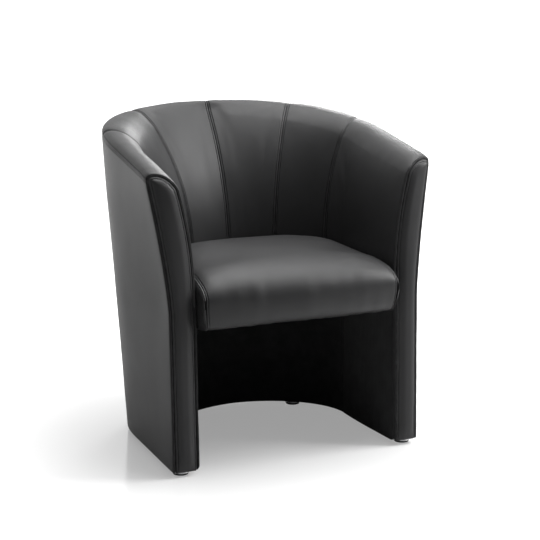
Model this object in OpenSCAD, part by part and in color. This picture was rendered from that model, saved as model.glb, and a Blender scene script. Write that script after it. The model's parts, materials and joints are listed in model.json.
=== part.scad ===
// Tub shaped reception chair: leather over foam on a bent board and timber frame.
// X runs across the chair, the front faces -Y and Z is up, all in millimetres.
// Inside the source the pole line of the tub is x = 0, y = 0. A last move centres the chair's depth.

/* [Heights] */
// Height of the crest in the middle of the back
back_height = 730; // [700:5:770]
// Height of the arm crest at its front end
arm_height = 645; // [620:5:670]
// Gap between the floor and the upholstery
floor_gap = 10; // [8:1:14]
// Height of the crest above the outer top seam
crest_over_outer_seam = 13; // [9:1:20]
// Height of the crest above the shoulder of the inside
crest_over_shoulder = 34; // [28:1:40]

/* [Outside shell] */
// Half width over the arms at the floor
outer_base_half_width = 292; // [278:1:310]
// Depth of the outside behind the pole line, at the floor
outer_base_depth = 230; // [215:1:245]
// Squareness of the rear corners at the floor
outer_base_squareness = 3.1; // [2.4:0.1:3.6]
// Half width over the arms at the outer top seam
outer_top_half_width = 330; // [318:1:345]
// Depth of the outside behind the pole line, at the top seam
outer_top_depth = 333; // [320:1:350]
// Squareness of the rear corners at the top
outer_top_squareness = 2.7; // [2.2:0.1:3.2]
// Height where the arms begin to flare outwards
outer_flare_height = 347; // [320:1:380]
// How sharply the arms flare outwards
outer_flare_power = 1.4; // [1.2:0.1:2.2]

/* [Inside of the tub] */
// Half width between the arms below the seat, at the pole line
inner_base_half_width = 218; // [205:1:228]
// Depth of the inside behind the pole line, below the seat
inner_base_depth = 166; // [155:1:178]
// Roundness of the inside plan below the seat
inner_base_squareness = 1.85; // [1.7:0.05:2.3]
// Half width of the inside at the shoulder of the arms
inner_top_half_width = 255; // [245:1:264]
// Depth of the inside at the shoulder of the back
inner_top_depth = 291; // [280:1:300]
// How much the inside widens from the pole line to the arm fronts
inner_splay = 13.5; // [8:0.5:18]
// Height where the inside of the arms begins to lean out
inner_flare_height = 370; // [367:1:400]
// Height where the inside of the back begins to lean out
back_lean_height = 250; // [230:5:290]
// How far each inside panel swells between its seams
panel_swell = 4; // [1:0.5:6]

/* [Arm fronts] */
// Distance from the pole line to the arm front at the floor
arm_length = 236; // [225:1:250]
// How far the arm front leans back from floor to crest
front_rake = 22; // [10:1:35]
// How far the outer edge of the arm front is set back at the top
front_setback = 18; // [5:1:25]

/* [Layers] */
// Thickness of the leather
leather = 1.4; // [1:0.1:2]
// Clearance between two layers
fit = 0.2; // [0.1:0.05:0.3]
// Thickness of the wadding on the outside
wadding = 4; // [2:0.5:6]
// Thickness of the bent outer board
outer_board_t = 3; // [2:0.5:5]
// Thickness of the foam on the inside
inner_foam = 16; // [12:1:20]
// Thickness of the bent inner boards
inner_board_t = 3; // [2:0.5:5]
// Thickness of the foam on the arm fronts
front_foam = 10; // [6:1:14]

/* [Timber] */
// Thickness of the U shaped base former
base_former_t = 30; // [26:1:36]
// Height of the seat rail above the underside of the seat
seat_rail_lift = 4; // [2:1:6]
// Height of the seat rail
seat_rail_h = 45; // [38:1:50]
// Width of the seat rail
seat_rail_w = 27; // [22:1:30]
// Drop from the crest to the top of the top former
top_former_drop = 55; // [50:1:60]
// Thickness of the top former
top_former_t = 18; // [15:1:24]

/* [Seat] */
// Distance from the pole line to the front of the seat, in the middle
seat_front = 270; // [262:1:285]
// Distance from the pole line to the front of the seat, at its side seams
seat_corner = 259; // [252:1:268]
// Height of the underside of the seat
seat_bottom = 316; // [312:1:320]
// Height of the side seams of the seat
seat_edge = 418; // [410:1:424]
// Height that the crown of the seat adds towards the front
seat_crown = 27; // [18:1:30]
// Height that the crown of the seat adds at the back
seat_crown_back = 6; // [3:1:12]
// Height of the foremost point of the seat above its webbing
seat_nose_lift = 16; // [8:1:26]
// Distance in from the side of the tub to the side seams
seat_seam_inset = 8; // [6:1:12]
// Height of the seat frame
seat_frame_h = 40; // [32:1:42]
// Width of the seat frame rails
seat_frame_w = 46; // [36:1:60]
// Width of a webbing strap
strap_w = 50; // [40:1:60]
// Thickness of a webbing strap
strap_t = 2; // [1.5:0.1:3]

/* [Fixings] */
// Diameter of the bolts that hold the seat
seat_bolt_d = 8; // [6:1:10]
// Diameter of the threaded stem of a foot
stem_d = 8; // [6:1:10]
// Length of the threaded stem above the foot
stem_length = 24; // [20:1:25]
// Outer diameter of the insert nut of a foot
insert_d = 12; // [11:0.5:14]
// Length of the insert nut of a foot
insert_length = 18; // [14:1:20]

/* [Feet] */
// Diameter of a foot
foot_d = 37; // [32:1:42]
// Thickness of the pad under a foot
foot_pad_t = 3; // [2:0.5:4]
// Distance of the front feet from the middle plane
front_foot_x = 266; // [255:1:267]
// Distance of the front feet in front of the pole line
front_foot_y = 208; // [185:1:210]
// Distance of the rear feet from the middle plane
rear_foot_x = 152; // [146:1:158]
// Distance of the rear feet behind the pole line
rear_foot_y = 142; // [138:1:150]

/* [Hidden] */
$fn = 48;

leather_colour = [0.13, 0.13, 0.14];
lining_colour = [0.06, 0.06, 0.06];
foam_colour = [0.90, 0.86, 0.70];
wadding_colour = [0.94, 0.94, 0.92];
board_colour = [0.62, 0.48, 0.33];
timber_colour = [0.78, 0.63, 0.43];
steel_colour = [0.75, 0.76, 0.78];

// The chair's depth is centred on the origin.
depth_shift = (seat_front - outer_top_depth) / 2;

// Arm fronts stand this far from the pole line at crest height, where the crest ends.
arm_front = 210;
// Radius of the crest at the middle of the back
crest_radius = (outer_top_depth + inner_top_depth) / 2;

// Stations are numbered along the tub. Below 0 they are distances in front of the pole line on the
// right arm, from 0 to 180 they are angles round the back, and above 180 they run down the left arm.
arm_stations = [-arm_front, -160, -107, -54];
turn_step = 6;
stations = concat(arm_stations, [for (a = [0:turn_step:180]) a], [for (i = [3:-1:0]) 180 - arm_stations[i]]);
seam_stations = [18, 54, 90];

function lerp(a, b, t) = a + (b - a) * t;
function clamp(t) = max(0, min(1, t));
function smooth(t) = clamp(t) * clamp(t) * (3 - 2 * clamp(t));
function on_arm(q) = q <= 0 || q >= 180;
function side(q) = q <= 90 ? 1 : -1;
function arm_y(q) = q <= 0 ? q : 180 - q;
function is_front(q) = on_arm(q) && arm_y(q) <= -arm_front;

// Height of the crest, on a plane that rises from the arm fronts to the back
function crest_y(q) = on_arm(q) ? arm_y(q) : crest_radius * sin(q);
function crest_z(q) =
    lerp(arm_height, back_height, (crest_y(q) + arm_front) / (crest_radius + arm_front));
function outer_seam_z(q) = crest_z(q) - crest_over_outer_seam;
function shoulder_z(q) = crest_z(q) - crest_over_shoulder;

// 0 at the arm fronts, 1 from a little behind the pole line
back_begins = -242;
back_holds = 129;
function backness(q) = smooth((crest_y(q) - back_begins) / (back_holds - back_begins));
function rise(z, low, high, power) = pow(max(0, (z - low) / (high - low)), power);
// Distance of a rounded plan from the pole line
function plan_r(half, depth, squareness, q) =
    on_arm(q) ? half
    : pow(pow(abs(cos(q)) / half, squareness) + pow(abs(sin(q)) / depth, squareness), -1 / squareness);
function splay(q) = on_arm(q) ? inner_splay * pow(arm_y(q) / arm_front, 2) : 0;

// Distance of the outer face from the pole line at a height
function outer_r(q, z) = let (
        top = outer_seam_z(q),
        flared = rise(z, outer_flare_height, top, outer_flare_power),
        straight = (z - floor_gap) / (top - floor_gap)
    ) lerp(
        plan_r(outer_base_half_width, outer_base_depth, outer_base_squareness, q),
        plan_r(outer_top_half_width, outer_top_depth, outer_top_squareness, q),
        lerp(flared, straight, backness(q)));

// Distance of the lining, which stands upright below the seat
function lining_r(q) =
    plan_r(inner_base_half_width, inner_base_depth, inner_base_squareness, q) + splay(q);

// How sharply the inside leans out on the arms and on the back, and how narrow the deep lean is
arm_lean_power = 2.2;
back_lean_power = 2.7;
back_lean_gather = 6;
// Distance of the inner face from the pole line at a height
function inner_r(q, z) = let (
        low = lerp(inner_flare_height, back_lean_height, on_arm(q) ? 0 : pow(sin(q), back_lean_gather)),
        power = lerp(arm_lean_power, back_lean_power, backness(q))
    ) lerp(
        lining_r(q),
        plan_r(inner_top_half_width, inner_top_depth, 2, q) + splay(q),
        rise(z, low, shoulder_z(q), power));

// Distance of the arm front from the pole line, where across is 0 at the outer edge and 1 at the inner
function front_depth(z, across) =
    arm_length - front_rake * z / arm_height
    - front_setback * (1 - across) * rise(z, outer_flare_height, arm_height, outer_flare_power);

// A point of the wall at a station, a distance and a height. The wall ends behind the arm facings.
facing_inset = leather + fit;
function wall_point(q, r, z) = let (
        across = clamp((outer_r(q, z) - r) / (outer_r(q, z) - inner_r(q, z)))
    )
    on_arm(q) ? [side(q) * r, is_front(q) ? facing_inset - front_depth(z, across) : arm_y(q), z]
    : [r * cos(q), r * sin(q), z];
function from_outer(q, z, depth) = wall_point(q, outer_r(q, z) - depth, z);
function from_inner(q, z, depth) = wall_point(q, inner_r(q, z) + depth, z);
function from_lining(q, z, depth) = wall_point(q, lining_r(q) + depth, z);

// Rounded crest from the outer seam, at 0 degrees, over to the shoulder, at 180 degrees, where it
// takes up the lean of the inner face
crest_rise = (crest_over_outer_seam + crest_over_shoulder) / 2;
crest_blend = 3;
function shoulder_lean(q) = inner_r(q, shoulder_z(q)) - inner_r(q, shoulder_z(q) - 1);
function crest_point(q, turn, depth) = let (
        across = (1 - cos(turn)) / 2,
        zo = outer_seam_z(q), zi = shoulder_z(q),
        z = lerp(zo, zi, across) + (crest_rise - depth) * sin(turn),
        r = lerp(outer_r(q, zo) - depth, inner_r(q, zi) + depth, across)
            + shoulder_lean(q) * max(0, z - zi) * pow(across, crest_blend),
        inwards = clamp((outer_r(q, zo) - r) / (outer_r(q, zo) - inner_r(q, zi)))
    )
    on_arm(q)
        ? [side(q) * r, is_front(q) ? facing_inset - front_depth(min(z, arm_height), inwards) : arm_y(q), z]
        : [r * cos(q), r * sin(q), z];

// Points of an arm front moved back along the wall, towards the next station, by a distance
function moved_back(front, next, distance) = [for (i = [0:len(front) - 1])
    lerp(front[i], next[i], distance / (next[i][1] - front[i][1]))];
function section_back(front, next, distance) =
    [moved_back(front[0], next[0], distance), moved_back(front[1], next[1], distance)];
// Sections of a layer that stops a distance behind the facings at one or both of its ends
function held_back(sections, distance, both) = let (last = len(sections) - 1)
    [for (i = [0:last])
        i == 0 ? section_back(sections[0], sections[1], distance)
        : i == last && both ? section_back(sections[last], sections[last - 1], distance)
        : sections[i]];

// Depths of the layers below the outer face and behind the inner face
wadding_depth = leather + fit;
outer_board_depth = wadding_depth + wadding + fit;
frame_outer_depth = outer_board_depth + outer_board_t + fit;
foam_depth = leather + fit;
upper_board_depth = foam_depth + inner_foam + fit;
frame_inner_depth = upper_board_depth + inner_board_t + 3 * fit;
lower_board_depth = leather + fit;
lower_frame_depth = lower_board_depth + inner_board_t + fit;
// The frame, its boards and its foam stop behind the foam of the arm fronts.
frame_setback = front_foam + 6 * fit;

// Heights that the layers share
seat_rail_bottom = seat_bottom + seat_rail_lift;
seat_rail_top = seat_rail_bottom + seat_rail_h;
base_former_bottom = floor_gap + leather + fit;
base_former_top = base_former_bottom + base_former_t;
function former_top_z(q) = crest_z(q) - top_former_drop;
function former_bottom_z(q) = former_top_z(q) - top_former_t;

outer_steps = [0.2, 0.4, 0.6, 0.8];
function outer_height(q, t) = lerp(outer_flare_height, outer_seam_z(q), t);
function outer_heights(q, bottom, top) = concat(
    [bottom, (bottom + outer_flare_height) / 2, outer_flare_height],
    [for (t = outer_steps) outer_height(q, t)], [top]);
inner_steps = [0, 0.22, 0.42, 0.6, 0.74, 0.85];
function inner_height(q, t) = lerp(seat_rail_top + fit, shoulder_z(q), t);
crest_turns = [150, 120, 90, 60, 30, 1];
// The wadding and the outer board end this far below the outer seam.
outer_top_drop = 3;

// A closed body swept through sections. A section is a pair of lists of points of one length, the
// first on the side away from the pole line. Facets of neighbouring layers run the same way.
module swept(sections, closed_half = false) {
    n = len(sections);
    m = len(sections[0][0]);
    ring = 2 * m;
    points = [for (s = sections) each concat(s[0], [for (i = [m - 1:-1:0]) s[1][i]])];
    function one_way(i, j) = (j < m) != (closed_half && i >= (n - 1) / 2);
    skin = [for (i = [0:n - 2], j = [0:ring - 1])
        let (a = i * ring + j, b = i * ring + (j + 1) % ring, c = a + ring, d = b + ring)
        each one_way(i, j) ? [[a, d, b], [a, c, d]] : [[a, c, b], [b, c, d]]];
    function cap(first, flip) = [for (i = [0:m - 2])
        let (a = first + i, b = a + 1, c = first + ring - 2 - i, d = c + 1)
        each flip ? [[a, b, c], [a, c, d]] : [[a, c, b], [a, d, c]]];
    polyhedron(points, concat(skin, cap(0, true), cap((n - 1) * ring, false)), convexity = 10);
}

module mirrored() mirror([1, 0, 0]) children();

// Outer layer of the wall, from one arm front to the other
function outer_layer(depth, thickness) = [for (q = stations) let (
        zs = outer_heights(q, base_former_bottom, outer_seam_z(q) - outer_top_drop)
    ) [
        [for (z = zs) from_outer(q, z, depth)],
        [for (z = zs) from_outer(q, z, depth + thickness)]
    ]];

hem = 14;
// The outer cover is one wrap of leather with a hem turned in below the wall.
module outer_cover() color(leather_colour) {
    swept([for (q = stations) let (
        out_zs = outer_heights(q, floor_gap, outer_seam_z(q)),
        in_zs = outer_heights(q, floor_gap + leather, outer_seam_z(q))
    ) [
        concat([from_outer(q, floor_gap, hem)], [for (z = out_zs) from_outer(q, z, 0)]),
        concat([from_outer(q, floor_gap + leather, hem)], [for (z = in_zs) from_outer(q, z, leather)])
    ]], true);
}

module outer_wadding() color(wadding_colour)
    swept(held_back(outer_layer(wadding_depth, wadding), frame_setback, true), true);

module outer_board() color(board_colour)
    swept(held_back(outer_layer(outer_board_depth, outer_board_t), frame_setback, true), true);

// Swell of an inside panel at a station, drawn in to its seams and to the seat
swell_squareness = 2.6;
swell_fade = 0.42;
function swell_of(q, q0, q1, t) =
    panel_swell * (1 - pow(abs(2 * (q - q0) / (q1 - q0) - 1), swell_squareness)) * clamp(t / swell_fade);
function panel_side(q, q0, q1, depth) = concat(
    [for (t = concat(inner_steps, [1]))
        from_inner(q, inner_height(q, t), depth - swell_of(q, q0, q1, t))],
    [for (turn = crest_turns) crest_point(q, turn, depth - swell_of(q, q0, q1, 1) * sin(turn / 2))]);
// Stations of a panel, with its two ends drawn back from the seams
function panel_stations(q0, q1) = let (
        inner = [for (q = stations) if (q > q0 + 1 && q < q1 - 1) q]
    ) concat([on_arm(q0) ? q0 : q0 + seam_gap], inner, [q1 - seam_gap]);
seam_gap = 0.06;

module inside_panel(q0, q1) color(leather_colour)
    swept([for (q = panel_stations(q0, q1))
        [panel_side(q, q0, q1, leather), panel_side(q, q0, q1, 0)]]);

// The arm panel swells about its own middle, between the arm front and the first seam.
module inside_arm_right() inside_panel(-arm_front, seam_stations[0]);
module side_back_panel_right() inside_panel(seam_stations[0], seam_stations[1]);
module centre_back_panel_right() inside_panel(seam_stations[1], seam_stations[2]);
module inside_arm_left() mirrored() inside_arm_right();
module side_back_panel_left() mirrored() side_back_panel_right();
module centre_back_panel_left() mirrored() centre_back_panel_right();

// Foam under an inside panel: it lines the inner board, rolls over the top former and ends in a thin lip.
former_cover = 3 * fit;
foam_lip = 1;
function foam_back(q) = let (
        zt = former_top_z(q) + former_cover,
        zo = outer_seam_z(q) - outer_top_drop + fit,
        outer_corner = from_outer(q, zt, frame_outer_depth + fit),
        inner_corner = from_inner(q, zt, upper_board_depth - fit)
    ) concat(
    [for (t = inner_steps) from_inner(q, inner_height(q, t), upper_board_depth - fit)],
    [inner_corner, (inner_corner + outer_corner) / 2, outer_corner,
     from_outer(q, (zt + zo) / 2, frame_outer_depth + fit),
     from_outer(q, zo, frame_outer_depth + fit),
     from_outer(q, zo, outer_board_depth),
     from_outer(q, zo, wadding_depth + foam_lip)]);
function foam_sections(q0, q1) =
    [for (q = panel_stations(q0, q1)) [foam_back(q), panel_side(q, q0, q1, foam_depth)]];

module arm_foam_right() color(foam_colour)
    swept(held_back(foam_sections(-arm_front, seam_stations[0]), frame_setback, false));
module side_back_foam_right() color(foam_colour)
    swept(foam_sections(seam_stations[0], seam_stations[1]));
module centre_back_foam_right() color(foam_colour)
    swept(foam_sections(seam_stations[1], seam_stations[2]));
module arm_foam_left() mirrored() arm_foam_right();
module side_back_foam_left() mirrored() side_back_foam_right();
module centre_back_foam_left() mirrored() centre_back_foam_right();

module upper_inner_board() color(board_colour)
    swept(held_back([for (q = stations) let (
        zs = concat([for (t = inner_steps) inner_height(q, t)], [former_top_z(q)])
    ) [
        [for (z = zs) from_inner(q, z, upper_board_depth + inner_board_t)],
        [for (z = zs) from_inner(q, z, upper_board_depth)]
    ]], frame_setback, true), true);

lining_heights = [seat_rail_bottom, seat_rail_top];
module lower_lining() color(lining_colour) difference() {
    swept([for (q = stations) [
        concat([from_lining(q, floor_gap + leather, hem), from_lining(q, floor_gap + leather, leather)],
            [for (z = lining_heights) from_lining(q, z, leather)]),
        concat([from_lining(q, floor_gap, hem), from_lining(q, floor_gap, 0)],
            [for (z = lining_heights) from_lining(q, z, 0)])
    ]], true);
    seat_bolt_holes();
}

module lower_inner_board() color(board_colour) difference() {
    swept(held_back([for (q = stations) let (zs = concat([base_former_bottom], lining_heights)) [
        [for (z = zs) from_lining(q, z, lower_board_depth + inner_board_t)],
        [for (z = zs) from_lining(q, z, lower_board_depth)]
    ]], frame_setback, true), true);
    seat_bolt_holes();
}

// Arm front facing: one panel from the outer edge to the inner edge, round the crest at its top
facing_swell = 4;
facing_across = [0, 0.25, 0.5, 0.75, 1];
facing_turns = [0, 30, 60, 89];
// Shares of the height above the flare, on the outer and on the inner edge of an arm front
edge_steps = [[0.2, 0.22], [0.4, 0.42], [0.6, 0.6], [0.8, 0.74], [0.9, 0.85]];
corner_r = 9;
corner_turns = [0, 45, 90];
// Shares of the height below the flare where a facing has a row of points
plain_shares = [0.35, 0.69];
// Pairs of points on the outer and the inner edge of the wall at a station, from the hem to the crest.
// The lower corners are rounded.
function edge_pairs(q, depth) = concat(
    [for (turn = corner_turns) let (
        z = floor_gap + depth + corner_r * (1 - cos(turn)),
        draw = corner_r * (1 - sin(turn)) + depth
    ) [from_outer(q, z, draw), from_lining(q, z, draw)]],
    [for (t = plain_shares) let (z = t * outer_flare_height)
        [from_outer(q, z, depth), from_inner(q, z, depth)]],
    [[from_outer(q, outer_flare_height, depth), from_inner(q, inner_height(q, 0), depth)]],
    [for (t = edge_steps) [
        from_outer(q, outer_height(q, t[0]), depth), from_inner(q, inner_height(q, t[1]), depth)]],
    [for (turn = facing_turns) [crest_point(q, turn, depth), crest_point(q, 180 - turn, depth)]]);
// A sheet across the arm front, moved back by a distance, as columns from the outer edge inwards
function front_sheet(depth, distance, swell) = let (
        front = edge_pairs(-arm_front, depth),
        next = edge_pairs(arm_stations[1], depth),
        rows = [for (i = [0:len(front) - 1]) moved_back(front[i], next[i], distance)]
    ) [for (a = facing_across) [for (row = rows) lerp(row[0], row[1], a) - [0, swell * sin(180 * a), 0]]];
module front_body(depth, near, near_swell, far, far_swell) {
    near_sheet = front_sheet(depth, near, near_swell);
    far_sheet = front_sheet(depth, far, far_swell);
    swept([for (i = [0:len(facing_across) - 1]) [near_sheet[i], far_sheet[i]]]);
}
module front_facing_right() color(leather_colour)
    front_body(0, -facing_inset, facing_swell, -fit, facing_swell);
module front_facing_left() mirrored() front_facing_right();

// Foam between the timber and the arm front facing
module front_wadding_right() color(foam_colour)
    front_body(leather + fit, 0, facing_swell, front_foam, 0);
module front_wadding_left() mirrored() front_wadding_right();

// Plan of the wall between two depths, as one outline
function wall_outline(z, outer_depth, inner_depth, setback) = let (
        sections = held_back([for (q = stations)
            [[from_outer(q, z, outer_depth)], [from_lining(q, z, inner_depth)]]], setback, true)
    ) concat(
    [for (s = sections) [s[0][0][0], s[0][0][1]]],
    [for (i = [len(sections) - 1:-1:0]) [sections[i][1][0][0], sections[i][1][0][1]]]);

foot_places = [
    [front_foot_x, -front_foot_y], [-front_foot_x, -front_foot_y],
    [rear_foot_x, rear_foot_y], [-rear_foot_x, rear_foot_y]];
insert_fit = 0.05;
stem_fit = 0.05;
stem_clearance = 2;
// Cuts run this far past the face that they open.
over = 1;

// U shaped base with a blind bore for each foot
module base_former() color(timber_colour) difference() {
    translate([0, 0, base_former_bottom]) linear_extrude(base_former_t)
        polygon(wall_outline(base_former_bottom, frame_outer_depth, lower_frame_depth,
            frame_setback + front_rake * base_former_t / arm_height));
    for (p = foot_places) translate([p[0], p[1], base_former_bottom]) {
        translate([0, 0, -over]) cylinder(d = insert_d + 2 * insert_fit, h = insert_length + over + fit);
        cylinder(d = stem_d + stem_clearance, h = stem_length + stem_clearance);
    }
}

module foot_insert_nuts() color(steel_colour) for (p = foot_places)
    translate([p[0], p[1], 0]) difference() {
        union() {
            translate([0, 0, base_former_bottom]) cylinder(d = insert_d, h = insert_length);
            translate([0, 0, base_former_bottom - insert_flange_t])
                cylinder(d = insert_d + 2 * insert_flange_w, h = insert_flange_t);
        }
        translate([0, 0, base_former_bottom - insert_flange_t - over])
            cylinder(d = stem_d + 2 * stem_fit, h = insert_length + insert_flange_t + 2 * over);
    }
insert_flange_t = 1.2;
insert_flange_w = 4;

// U shaped rail at seat height, bored across for the seat bolts
rail_stations = [for (q = stations) if (!is_front(q)) q];
function lining_outline(list, near, far) = concat(
    [for (q = list) let (p = from_lining(q, seat_rail_bottom, far)) [p[0], p[1]]],
    [for (i = [len(list) - 1:-1:0]) let (p = from_lining(list[i], seat_rail_bottom, near)) [p[0], p[1]]]);
module seat_rail() color(timber_colour) difference() {
    translate([0, 0, seat_rail_bottom]) linear_extrude(seat_rail_h)
        polygon(lining_outline(rail_stations, lower_frame_depth, lower_frame_depth + seat_rail_w));
    seat_bolt_holes();
    at_seat_bolts() {
        translate([0, 0, bolt_reach - tee_flange_t - tee_barrel])
            cylinder(d = tee_barrel_d + 2 * insert_fit, h = tee_barrel + bolt_over);
        translate([0, 0, bolt_reach - tee_flange_t])
            cylinder(d = tee_flange_d + tee_clearance, h = tee_flange_t + bolt_over);
    }
}

module top_former() color(timber_colour)
    swept(held_back([for (q = stations) let (zs = [former_bottom_z(q), former_top_z(q)]) [
        [for (z = zs) from_outer(q, z, frame_outer_depth + 2 * fit)],
        [for (z = zs) from_inner(q, z, frame_inner_depth)]
    ]], frame_setback, true), true);

// Upright of the frame that fills the wall between two stations. Its inner edge steps back round
// the seat rail and then round the upper board.
function upright_outer(q) = let (
        board = outer_heights(q, base_former_bottom, outer_seam_z(q)),
        zs = concat([base_former_top + fit], [for (i = [1:5]) board[i]], [former_bottom_z(q) - fit])
    ) [for (z = zs) from_outer(q, z, frame_outer_depth)];
notch_run = 30;
notch_step = 5;
upright_shares = [0.42, 0.74];
function upright_inner(q, notch) = concat(
    [from_lining(q, base_former_top + fit, lower_frame_depth),
     from_lining(q, seat_rail_bottom - notch_run, lower_frame_depth),
     from_lining(q, seat_rail_bottom - fit, notch),
     from_lining(q, seat_rail_top + fit, max(notch, frame_inner_depth + notch_step))],
    [for (z = concat([for (t = upright_shares) inner_height(q, t)], [former_bottom_z(q) - fit]))
        from_inner(q, z, frame_inner_depth)]);
function upright_sections(q0, q1, notch) =
    [for (q = [q0, q1]) [upright_outer(q), upright_inner(q, notch)]];
module upright(q0, q1) color(timber_colour) swept(upright_sections(q0, q1, rail_notch));
rail_notch = lower_frame_depth + seat_rail_w + fit;
module front_post_right() color(timber_colour) swept(held_back(
    upright_sections(-arm_front, arm_stations[1], lower_frame_depth), frame_setback, false));
module arm_rib_right() upright(arm_stations[3], 0);
// Turns round the back where the ribs stand, each one step wide
rear_rib_turn = 7 * turn_step;
back_rib_turn = 12 * turn_step;
module rear_rib_right() upright(rear_rib_turn, rear_rib_turn + turn_step);
module back_rib_right() upright(back_rib_turn, back_rib_turn + turn_step);
module front_post_left() mirrored() front_post_right();
module arm_rib_left() mirrored() arm_rib_right();
module rear_rib_left() mirrored() rear_rib_right();
module back_rib_left() mirrored() back_rib_right();

// Thin cloth that closes the underside of the wall between the two hems
cloth = 1;
cloth_lap = 1;
foot_clearance = 3;
module base_dust_cover() color(lining_colour)
    translate([0, 0, floor_gap + leather - cloth]) linear_extrude(cloth) difference() {
        polygon(wall_outline(floor_gap, hem + cloth_lap, hem + cloth_lap, frame_setback));
        for (p = foot_places) translate(p) circle(d = foot_d + 2 * foot_clearance);
    }

// Seat bolts: two through each arm and one through the back, pointing outwards along local Z.
// The origin of each lies on the face of the lining.
bolt_z = seat_bottom + leather + fit + seat_frame_h / 2;
arm_bolt_ys = [-135, -80];
module at_seat_bolts() {
    for (y = arm_bolt_ys, s = [1, -1])
        translate([s * lining_r(y), y, bolt_z]) rotate([0, s * 90, 0]) children();
    translate([0, lining_r(90), bolt_z]) rotate([-90, 0, 0]) children();
}
module seat_bolt_holes() at_seat_bolts() translate([0, 0, -seat_frame_w - 2 * bolt_over])
    cylinder(d = seat_bolt_d + bolt_clearance, h = seat_frame_w + bolt_reach + 3 * bolt_over);
bolt_over = 5;
bolt_clearance = 0.6;
bolt_reach = lower_frame_depth + seat_rail_w;
bolt_head_t = 5;
bolt_head_w = 3;
// Pieces that are joined into one solid meet by this much.
weld = 0.01;
tee_barrel = 12;
tee_barrel_d = seat_bolt_d + 3;
tee_flange_t = 1.5;
tee_flange_w = 5;
tee_flange_d = tee_barrel_d + 2 * tee_flange_w;
tee_clearance = 2;
seat_frame_gap = leather + 3 * fit;
head_seat = seat_frame_gap + seat_frame_w + 4 * fit;

module seat_bolts() color(steel_colour) at_seat_bolts() {
    translate([0, 0, -head_seat - bolt_head_t]) cylinder(d = seat_bolt_d + 2 * bolt_head_w, h = bolt_head_t);
    translate([0, 0, -head_seat - weld]) cylinder(d = seat_bolt_d, h = head_seat + bolt_reach);
}

module seat_tee_nuts() color(steel_colour) at_seat_bolts() difference() {
    union() {
        translate([0, 0, bolt_reach - tee_flange_t - tee_barrel]) cylinder(d = tee_barrel_d, h = tee_barrel);
        translate([0, 0, bolt_reach - tee_flange_t]) cylinder(d = tee_flange_d, h = tee_flange_t);
    }
    translate([0, 0, bolt_reach - tee_flange_t - tee_barrel - over])
        cylinder(d = seat_bolt_d + 2 * stem_fit, h = tee_barrel + bolt_over);
}

// Seat plan: half width at a depth, with the sides drawn in by an inset
arm_front_y = -front_depth(seat_edge, 1) + facing_inset;
function seat_half(y, inset) =
    y <= arm_stations[1]
        ? lerp(lining_r(arm_stations[1]), lining_r(-arm_front),
            clamp((arm_stations[1] - y) / (arm_stations[1] - arm_front_y))) - inset
    : y <= 0 ? lining_r(y) - inset
    : (inner_base_half_width - inset)
        * pow(max(0, 1 - pow(y / (inner_base_depth - inset), inner_base_squareness)),
            1 / inner_base_squareness);
seat_side_gap = 2 * fit;
seam_line = seat_side_gap + seat_seam_inset;
seat_base_z = seat_bottom + leather + fit + seat_frame_h + 3 * fit + 2 * strap_t;
seat_nose_height = seat_base_z + seat_nose_lift;
waist = -212;
roll_start = -165;
bottom_edge = -238;
frame_front = -225;
// The lower front corners of the seat are drawn in by this much.
corner_draw = 7;
function lower_draw(y, z) = corner_draw * clamp((frame_front - y) / (frame_front - bottom_edge))
    * pow(clamp((seat_nose_height - z) / (seat_nose_height - seat_bottom)), 2);

// Height of the seat's top at a share across, -1 to 1, and a depth. The crown grows towards the front.
crown_run = 260;
crown_power = 6.5;
back_round = 30;
function seat_top_z(s, y) = let (
        from_back = inner_base_depth - seam_line - y,
        crown = lerp(seat_crown_back, seat_crown, smooth(from_back / crown_run))
    ) seat_edge + crown * (1 - pow(abs(s), crown_power)) * sqrt(clamp(from_back / back_round));
function seat_reach(s) = lerp(seat_front, seat_corner, s * s);

back_shares = [0.985, 0.93, 0.82, 0.66, 0.45, 0.2, 0];
front_shares = [0.35, 0.7, 1];
top_rows = concat([for (c = back_shares) c * (inner_base_depth - seam_line)],
    [for (c = front_shares) c * roll_start]);
upper_turns = [72, 54, 36, 18, 0];
roll_power = 2.2;
lower_shares = [1, 0.63, 0.3, 0.11, 0];
lower_heights = [for (t = lower_shares) lerp(seat_bottom, seat_base_z, t)];
function roll_share(z) =
    pow(max(0, 1 - pow((seat_nose_height - z) / (seat_nose_height - seat_bottom), roll_power)),
        1 / roll_power);

// Points of one line of the seat cover from back to front, a depth below its face
seat_tuck = 30;
tuck_back = 2;
function seat_x(s, y, z) = s * (seat_half(max(y, waist), seam_line) - lower_draw(y, z));
function seat_line(s, depth) = let (
        front = seat_reach(s) - depth,
        top = seat_top_z(s, roll_start) - depth
    ) concat(
    [[s * seat_half(top_rows[0], seam_line), top_rows[0] + tuck_back - depth, seat_edge - seat_tuck]],
    [for (y = top_rows) [seat_x(s, y, seat_edge), y, seat_top_z(s, y) - depth]],
    [for (turn = upper_turns) let (y = lerp(roll_start, -front, pow(cos(turn), 2 / roll_power)))
        [seat_x(s, y, seat_edge), y, lerp(seat_nose_height, top, pow(sin(turn), 2 / roll_power))]],
    [for (z = lower_heights) let (y = lerp(bottom_edge, -front, roll_share(z)))
        [seat_x(s, y, z), y, max(z, seat_bottom + depth)]],
    [[seat_x(s, bottom_edge, seat_bottom), bottom_edge + hem, seat_bottom + depth]]);

seat_shares = [-1, -0.96, -0.88, -0.72, -0.48, -0.22, 0, 0.22, 0.48, 0.72, 0.88, 0.96, 1];

// Main panel: the crowned top, rolled over the front and turned in below it
module seat_cover() color(leather_colour)
    swept([for (s = seat_shares) [seat_line(s, 0), seat_line(s, leather)]]);

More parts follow.
